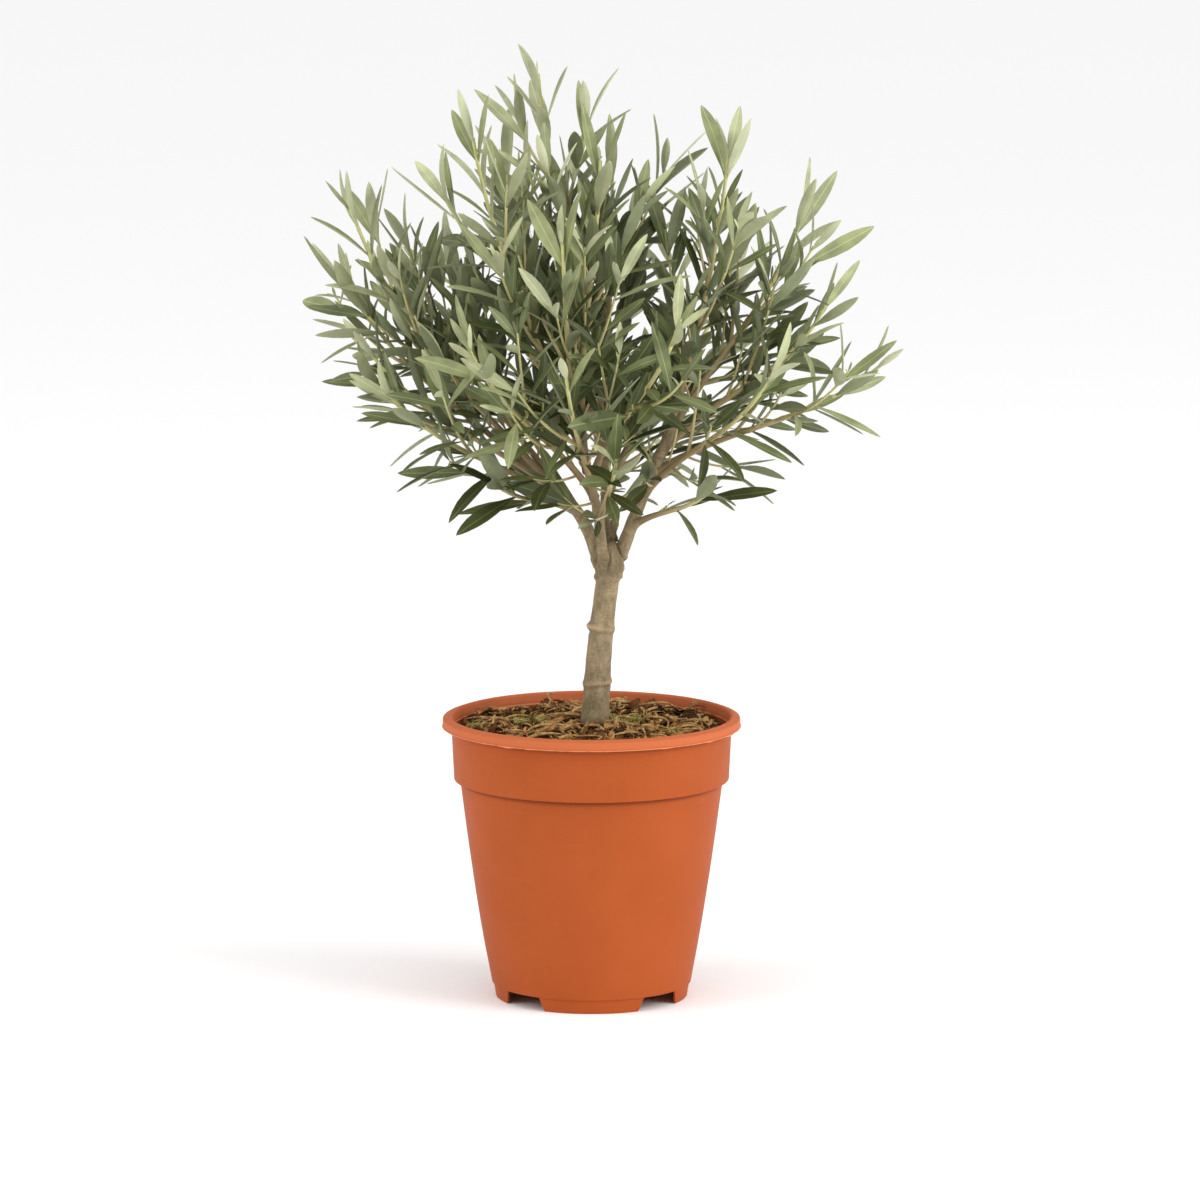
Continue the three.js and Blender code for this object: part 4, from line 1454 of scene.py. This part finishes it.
# %% [markdown]
# The points and the shapes come together in Geometry Nodes: each point picks its shape by number and
# gives it a turn and a size, and the copies are made real. The midrib and the underside are marked on
# the shape's faces, so three plain colours land where they belong on every leaf.

# %% Leaf tree
foliage = NodeTree(
    "foliage", {"Shapes": "Collection", "Blade": "Material", "Underside": "Material", "Midrib": "Material"}
)
foliage_shapes = foliage.node(
    "GeometryNodeCollectionInfo", {}, {"Collection": foliage.given("Shapes"), "Separate Children": True}
)
foliage_turn = foliage.node(
    "FunctionNodeEulerToRotation", {}, {"Euler": foliage.stored("turn", "FLOAT_VECTOR")}
)
foliage_copies = foliage.node(
    "GeometryNodeInstanceOnPoints",
    {},
    {
        "Points": foliage.given("Geometry"), "Instance": foliage_shapes, "Pick Instance": True,
        "Instance Index": foliage.stored("shape", "INT"), "Rotation": foliage_turn,
        "Scale": foliage.stored("size", "FLOAT_VECTOR"),
    },
)
foliage.finish(foliage_copies, ("Blade", None), ("Underside", "under"), ("Midrib", "rib"))
print("foliage tree:", len(foliage.tree.nodes), "nodes")


def leaf_points(name, rows):
    """An object of loose points that carry each leaf's turn, size and shape."""
    mesh = bpy.data.meshes.new(name)
    mesh.from_pydata([tuple(row[0] * MM) for row in rows], [], [])
    turns, sizes, shapes = [], [], []
    for _, direction, facing, length, width, shape, _ in rows:
        across = direction.cross(facing)
        turns.extend(Matrix((across, direction, facing)).transposed().to_euler())
        sizes.extend((width * MM, length * MM, length * MM))
        shapes.append(shape)
    mesh.attributes.new("turn", "FLOAT_VECTOR", "POINT").data.foreach_set("vector", turns)
    mesh.attributes.new("size", "FLOAT_VECTOR", "POINT").data.foreach_set("vector", sizes)
    mesh.attributes.new("shape", "INT", "POINT").data.foreach_set("value", shapes)
    made = bpy.data.objects.new(name, mesh)
    bpy.context.scene.collection.objects.link(made)
    return made

# %% [markdown]
# ### The leaves' finishes
#
# The upper side of a leaf is waxy grey-green, the underside is silvery with fine scales, and the
# midrib is pale. Five tones are dealt out by where a spray grows, and each is a plain colour with
# only a breath of variation over it. One material with a colour per leaf would do too, but separate
# tones stay apart in any program that reads the model.

# %% Leaf finishes
# the deep and light rows are shaded and lit copies of the leaf colours: painted shade and painted light
TONE_COLOURS = {  # the blade, its underside, its midrib
    "deep": ((67, 75, 36), (112, 117, 82), (104, 110, 64)),
    "green": ((96, 105, 63), (136, 143, 110), (134, 140, 94)),
    "grey": ((133, 139, 96), (160, 164, 128), (163, 165, 116)),
    "light": ((160, 164, 124), (180, 184, 150), (184, 186, 144)),
    "young": ((176, 181, 138), (188, 193, 154), (196, 198, 152)),
}


def leaf_finish(name, colour, roughness, change):
    """A waxy finish of one colour that is a little lighter here and darker there."""
    finish = Finish(name, roughness=roughness, Specular_IOR_Level=0.4)
    cloud = finish.noise(14, detail=2)
    lighter = tuple(min(255, c * (1 + change)) for c in colour)
    darker = tuple(c * (1 - change) for c in colour)
    finish.set(Base_Color=finish.blend(paint(*darker), paint(*lighter), cloud.between(0.3, 0.7)))
    finish.set(Roughness=cloud * 0.15 + (roughness - 0.08))
    finish.bump(finish.noise(1.6, detail=3), 0.1, 0.5)
    return finish.material


for tone in TONES:
    blade_colour, under_colour, rib_colour = TONE_COLOURS[tone]
    rows = [row for row in leaf_rows if row[-1] == tone]
    leaves = foliage.run(
        leaf_points("leaves_" + tone, rows),
        Shapes=leaf_shapes,
        Blade=leaf_finish("leaf_%s" % tone, blade_colour, 0.46, 0.09),
        Underside=leaf_finish("leaf_%s_underside" % tone, under_colour, 0.62, 0.05),
        Midrib=leaf_finish("leaf_%s_midrib" % tone, rib_colour, 0.5, 0.04),
    )
    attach(leaves, "root")
    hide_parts(*named_nodes("foliage_"))
    print(leaves.name, len(leaves.data.polygons), "faces")
thrown_away(leaf_shapes)

# %% [markdown]
# ## The potting soil
#
# Nursery compost is a mix of bark, coir and peat. From above it is a rough mat: flat chips of bark,
# curled fibres, crumbs, and a few green cushions of moss near the trunk. The ground under them is a
# plug that fills the pot, spun like the pot itself, with an uneven top. Roughness of three sizes and
# a few heaps make it, and it calms down towards the trunk, whose foot stands on level ground.

# %% Soil plug
SOIL = {
    "edge": 155.0, "middle": 157.2, "radius": 78.0, "sink": 0.9, "calm_round": 2, "calm_reach": 14,
    "rings": 44, "sides": 150, "smooth_below": 140,
}
SOIL_BUMPS = [(2.4, 13), (1.8, 5), (0.8, 1.9)]  # height and size
HEAPS = [  # x, y, how far it spreads, how high it is
    (-54, 26, 17, 3.6), (-24, 50, 15, 3.2), (52, 34, 17, 3.0),
    (24, 52, 12, 2.2), (-30, -20, 14, 1.8), (34, -30, 15, 1.8),
]
SOIL_WALL = [
    (0, 1.9), (14.0, 1.9), (18.7, 10.4), (53.1, 10.4), (55.4, 12.7), (65.2, 68), (73.1, 125), (76.5, 127),
]


def soil_height(x, y):
    """The uneven top of the compost at a place in the pot."""
    share = min(1, math.hypot(x, y) / SOIL["radius"])
    spot = Vector((x, y, 0))
    rough = sum(height * noise.noise(spot / size) for height, size in SOIL_BUMPS)
    rough += sum(h * math.exp(-((x - a) ** 2 + (y - b) ** 2) / r ** 2) for a, b, r, h in HEAPS)
    from_trunk = math.hypot(x - SOIL["calm_round"], y)
    calm = 1 - math.exp(-((from_trunk / SOIL["calm_reach"]) ** 2))
    return mix(SOIL["middle"], SOIL["edge"], share) - SOIL["sink"] + rough * calm


def soil_wobble(r, z, angle):
    """The wall stays as it is, and the top takes its uneven height."""
    if z < SOIL["smooth_below"]:
        return r, z
    return r, soil_height(r * math.cos(angle), r * math.sin(angle))


soil_top = [(SOIL["radius"] * (1 - i / SOIL["rings"]), SOIL["edge"]) for i in range(SOIL["rings"] + 1)]
soil = spun("compost", SOIL_WALL + soil_top, SOIL["sides"], soil_wobble)
print("compost:", len(soil.data.polygons), "faces")

# %% [markdown]
# Chips, fibres and crumbs are scattered by Geometry Nodes over the top. A stored mask keeps them off
# the walls and away from the trunk. Each kind is a handful of different shapes, picked at random,
# turned any way and laid nearly flat. Dropping them one by one would lay them more truly, but it
# takes long for so many, and from above no one can tell.

# %% Scatter tree
TOP_ABOVE = 150
FULL_TURN = 6.283


def cover_mask(name, keep):
    """The top of the compost as a bare sheet with a mask of where things may lie."""
    mesh = bpy.data.meshes.new(name)
    made = bmesh.new()
    made.from_mesh(soil.data)
    low = [f for f in made.faces if f.calc_center_median().z < TOP_ABOVE * MM]
    bmesh.ops.delete(made, geom=low, context="FACES")
    made.to_mesh(mesh)
    made.free()
    values = [keep(v.co / MM) for v in mesh.vertices]
    mesh.attributes.new("cover", "FLOAT", "POINT").data.foreach_set("value", values)
    sheet = bpy.data.objects.new(name, mesh)
    bpy.context.scene.collection.objects.link(sheet)
    return sheet


scatter = NodeTree(
    "scatter",
    {
        "Shapes": "Collection", "Density": "Float", "Smallest": "Float", "Largest": "Float", "Tilt": "Float",
        "Rise": "Vector", "Seed": "Int", "Finish": "Material",
    },
)
scatter_sheet = scatter.node(
    "GeometryNodeSetPosition", {}, {"Geometry": scatter.given("Geometry"), "Offset": scatter.given("Rise")}
)
scatter_density = scatter.node(
    "ShaderNodeMath",
    {"operation": "MULTIPLY"},
    {0: scatter.given("Density"), 1: scatter.stored("cover", "FLOAT")},
)
scatter_points = scatter.node(
    "GeometryNodeDistributePointsOnFaces",
    {"distribute_method": "RANDOM"},
    {"Mesh": scatter_sheet, "Density": scatter_density, "Seed": scatter.given("Seed")},
)
scatter_tilt = scatter.given("Tilt")
scatter_back = scatter.node("ShaderNodeMath", {"operation": "MULTIPLY"}, {0: scatter_tilt, 1: -1.0})
scatter_low = scatter.node("ShaderNodeCombineXYZ", {}, {0: scatter_back, 1: scatter_back, 2: 0.0})
scatter_high = scatter.node("ShaderNodeCombineXYZ", {}, {0: scatter_tilt, 1: scatter_tilt, 2: FULL_TURN})
scatter_turn = scatter.node(
    "FunctionNodeRandomValue",
    {"data_type": "FLOAT_VECTOR"},
    {0: scatter_low, 1: scatter_high, "Seed": 3},
)
scatter_size = scatter.node(
    "FunctionNodeRandomValue",
    {"data_type": "FLOAT"},
    {2: scatter.given("Smallest"), 3: scatter.given("Largest"), "Seed": 5},
    out=1,
)
scatter_shapes = scatter.node(
    "GeometryNodeCollectionInfo", {}, {"Collection": scatter.given("Shapes"), "Separate Children": True}
)
scatter_copies = scatter.node(
    "GeometryNodeInstanceOnPoints",
    {},
    {
        "Points": scatter_points, "Instance": scatter_shapes, "Pick Instance": True,
        "Rotation": scatter.node("FunctionNodeEulerToRotation", {}, {"Euler": scatter_turn}),
        "Scale": scatter_size,
    },
)
scatter.finish(scatter_copies, ("Finish", None))
print("scatter tree:", len(scatter.tree.nodes), "nodes")

# %% [markdown]
# Every shape is about one unit long, so the scatter's sizes are the lengths of the pieces. A slab is
# a chunk of bark, ridged along its grain, and a flake is a thin broken chip. A fibre is a thin tube on
# a crooked line. A crumb is a lump, and moss is a crumb drawn out into a small point.

# %% Scatter shapes
SHAPE_SEED = 77
FLAKE = {"corners": 9, "half_long": 0.5, "wide": (0.16, 0.32), "thick": (0.04, 0.09), "curl": (-0.25, 0.3)}
SLAB = {"long_steps": 8, "wide_steps": 3, "wide": (0.13, 0.27), "thick": (0.06, 0.11), "curl": (-0.6, 0.8)}
FIBRE = {"steps": 9, "sides": 4, "sway": 0.16, "thick": (0.012, 0.03)}
LUMP = {"radius": 0.5, "dents": (0.75, 1.1)}
shape_rolls = Rolls(SHAPE_SEED)


def unit_mesh(name, vertices, faces):
    """A hard-edged shape from points in units of its own length."""
    return plain_mesh(name, [tuple(c / MM for c in v) for v in vertices], faces, smooth=False)


def flake(name):
    """A flat broken flake: an uneven ring of corners, a bit thicker in the middle."""
    count, half = FLAKE["corners"], FLAKE["half_long"]
    wide, thick, curl = (shape_rolls.spread(*FLAKE[key]) for key in ("wide", "thick", "curl"))
    outline = []
    for i in range(count):
        angle = 2 * math.pi * i / count
        reach = shape_rolls.spread(0.72, 1.1)
        outline.append((half * reach * math.cos(angle), wide * reach * math.sin(angle)))
    vertices = [(x, y, curl * x * x + side * thick / 2) for side in (-1, 1) for x, y in outline]
    vertices += [(0, 0, -thick * 0.7), (0, 0, thick * 0.7)]
    faces = []
    for i in range(count):
        j = (i + 1) % count
        faces += [(i, j, count + j, count + i), (j, i, 2 * count), (count + i, count + j, 2 * count + 1)]
    return unit_mesh(name, vertices, faces)


def slab(name):
    """A rugged chunk of bark, curled, ridged along its grain and broken at the ends."""
    long_steps, wide_steps = SLAB["long_steps"], SLAB["wide_steps"]
    wide, thick, curl = (shape_rolls.spread(*SLAB[key]) for key in ("wide", "thick", "curl"))
    seed = Vector((shape_rolls() * 50, 0, 0))
    vertices, faces = [], []
    for side in (1, -1):
        for i in range(long_steps + 1):
            for j in range(wide_steps + 1):
                u, v = i / long_steps - 0.5, j / wide_steps - 0.5
                ragged = 1 + 0.25 * noise.noise(seed + Vector((v * 9, side * 2, 1)))
                grain = 0.09 * noise.noise(seed + Vector((u * 3, v * 8, side)))
                uneven = 1 + 0.4 * noise.noise(seed + Vector((u * 5, 4, 4)))
                x, y = u * ragged, v * wide * uneven * 2 * (0.62 - abs(u) * 0.4)
                vertices.append((x, y, curl * (u * u - 0.1) + curl * y * y + side * thick / 2 + grain))
    row = wide_steps + 1
    sheet = (long_steps + 1) * row
    for i in range(long_steps):
        for j in range(wide_steps):
            a = i * row + j
            faces.append((a, a + row, a + row + 1, a + 1))
            faces.append((sheet + a + 1, sheet + a + row + 1, sheet + a + row, sheet + a))
    edge = [(i * row, (i + 1) * row) for i in range(long_steps)]
    edge += [(long_steps * row + j, long_steps * row + j + 1) for j in range(wide_steps)]
    edge += [((i + 1) * row + wide_steps, i * row + wide_steps) for i in reversed(range(long_steps))]
    edge += [(j + 1, j) for j in reversed(range(wide_steps))]
    faces += [(b, a, sheet + a, sheet + b) for a, b in edge]
    return unit_mesh(name, vertices, faces)

# %% Fibre and crumb shapes
def fibre(name):
    """A thin crooked root or strand of coir."""
    steps = FIBRE["steps"]
    sway = [shape_rolls.spread(-FIBRE["sway"], FIBRE["sway"]) for _ in range(3)]
    points = []
    for i in range(steps + 1):
        t = i / steps
        side = sway[0] * math.sin(math.pi * t) + sway[1] * math.sin(2 * math.pi * t)
        rise = 0.12 * math.sin(math.pi * t) + sway[2] * 0.4 * math.sin(3 * t)
        points.append(Vector((t - 0.5, side, rise)))
    thick = shape_rolls.spread(*FIBRE["thick"])
    radii = [thick * (0.35 + math.sin(math.pi * (0.08 + 0.84 * i / steps))) for i in range(steps + 1)]
    made = strands(name, [([p / MM for p in points], [r / MM for r in radii], [0] * (steps + 1))])
    return sweep.run(made, Sides=FIBRE["sides"])


def lump(name, tall):
    """A crumb: a small ball with dents, drawn out upwards for moss."""
    mesh = bpy.data.meshes.new(name)
    made = bmesh.new()
    bmesh.ops.create_icosphere(made, subdivisions=1, radius=LUMP["radius"])
    for vertex in made.verts:
        vertex.co *= shape_rolls.spread(*LUMP["dents"])
        vertex.co.z *= tall
    made.to_mesh(mesh)
    made.free()
    lump_object = bpy.data.objects.new(name, mesh)
    bpy.context.scene.collection.objects.link(lump_object)
    return lump_object


def shape_lot(name, maker, count):
    """A set of shapes of one kind."""
    return shape_set(name, [maker("%s_%d" % (name, number)) for number in range(count)])


slabs = shape_lot("slabs", slab, 7)
flakes = shape_lot("flakes", flake, 6)
fibres = shape_lot("fibres", fibre, 6)
crumbs = shape_lot("crumbs", lambda name: lump(name, 0.7), 4)
tufts = shape_lot("tufts", lambda name: lump(name, 2.2), 3)
shape_lots = (slabs, flakes, fibres, crumbs, tufts)

# %% [markdown]
# ### The compost's finishes
#
# Wet bark is nearly black and dry bark is tan, so chips come in a dark and a light lot. Fibres are
# straw-brown, crumbs are dark, and the moss is yellow-green. Round the moss everything is greened a
# little by algae. That bloom follows the place, so a chip is green at one end only.

# %% Compost finishes
MOSS = [(-35, 0, 14), (19, 8, 14), (-66, -8, 8), (44, -28, 8)]  # x, y and reach of each patch
MOSS_HEIGHT = 158
BLOOM = (0.8, 1.5)


def earthy(name, dark, light, size):
    """A finish of two browns, greened where algae and moss have spread."""
    finish = Finish(name, roughness=0.9, Specular_IOR_Level=0.2)
    patches = finish.noise(size, detail=5, roughness=0.65).between(0.35, 0.65)
    colour = finish.blend(paint(*dark), paint(*light), patches)
    ragged = finish.noise(4, detail=4, roughness=0.7)
    green = finish.blend(paint(98, 90, 36), paint(164, 152, 88), patches)
    for x, y, reach in MOSS:
        middle = (x, y, MOSS_HEIGHT)
        away = finish.node(
            "ShaderNodeVectorMath", {"operation": "DISTANCE"}, {0: finish.place(), 1: middle}, out=1
        )
        brown = (away + ragged * reach).between(reach * BLOOM[0], reach * BLOOM[1])
        colour = finish.blend(colour, green, 1 - brown)
    finish.set(Base_Color=colour)
    finish.bump(finish.noise(0.7, detail=4), 0.3, 0.8)
    return finish.material


soil.data.materials.append(earthy("compost_dark", (38, 24, 13), (80, 54, 29), 4))
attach(soil, "root")
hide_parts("soil")
print("compost finish:", soil.data.materials[0].name)

# %% [markdown]
# ### Laying the litter
#
# The lots lie on each other like on the real pot: chunks and chips of bark, fibres over them, crumbs
# between them and moss on top. A long piece could reach through the wall or the trunk, so it is kept
# further off than a short one. Moss grows in patches that thin out towards their edges.

# %% Litter
FROM_TRUNK, FROM_WALL = (9.5, 0.12), (76, 0.42)
MOSS_LENGTH = 2
LITTER_SEED = 40


def ring_mask(longest):
    """Keeps pieces up to this long off the wall and the trunk."""
    inner, outer = FROM_TRUNK[0] + longest * FROM_TRUNK[1], FROM_WALL[0] - longest * FROM_WALL[1]

    def keep(p):
        return 1.0 if math.hypot(p.x - 2, p.y) > inner and math.hypot(p.x, p.y) < outer else 0.0

    return keep


def moss_mask(_):
    """Keeps moss in its patches, thick in the middle, with gaps."""
    in_ring = ring_mask(MOSS_LENGTH)

    def keep(p):
        near = max(math.exp(-(((p.x - x) ** 2 + (p.y - y) ** 2) / r ** 2) * 1.6) for x, y, r in MOSS)
        return in_ring(p) * max(0, near - 0.3) * (1 if noise.noise(p / 4) > -0.2 else 0.25)

    return keep


LITTER = [  # name, shapes, how many to the square metre, lengths, tilt, rise, mask, its two browns
    ("bark_chunks_dark", slabs, 5200, 11, 22, 0.6, 1.0, ring_mask, ((58, 34, 15), (116, 74, 38))),
    ("bark_chunks_light", slabs, 6000, 9, 21, 0.42, 1.7, ring_mask, ((122, 80, 42), (190, 146, 92))),
    ("bark_chips_dark", flakes, 24000, 4, 10, 0.7, 0.6, ring_mask, ((40, 24, 11), (86, 54, 26))),
    ("bark_chips_light", flakes, 20000, 4, 9, 0.75, 1.5, ring_mask, ((130, 88, 46), (198, 156, 100))),
    ("coir_fibres", fibres, 9000, 10, 30, 0.35, 2.2, ring_mask, ((126, 88, 48), (196, 158, 104))),
    ("dark_fibres", fibres, 9000, 8, 22, 0.45, 1.2, ring_mask, ((52, 32, 16), (98, 64, 34))),
    ("crumbs", crumbs, 130000, 0.8, 2.8, 3.1, 0.4, ring_mask, ((50, 30, 14), (120, 82, 42))),
    ("moss", tufts, 1500000, 1.0, 2.4, 0.7, 3.0, moss_mask, ((112, 102, 42), (174, 162, 88))),
]
for number, (name, shapes, density, smallest, largest, tilt, rise, mask, tones) in enumerate(LITTER):
    litter = scatter.run(
        cover_mask(name, mask(largest)), Shapes=shapes, Density=float(density),
        Smallest=smallest * MM, Largest=largest * MM, Tilt=float(tilt), Rise=(0.0, 0.0, rise * MM),
        Seed=LITTER_SEED + number, Finish=earthy(name + "_finish", *tones, 6),
    )
    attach(litter, "root")
    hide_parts("soil")
    print(litter.name, len(litter.data.polygons), "faces")
for lot in shape_lots:
    thrown_away(lot)
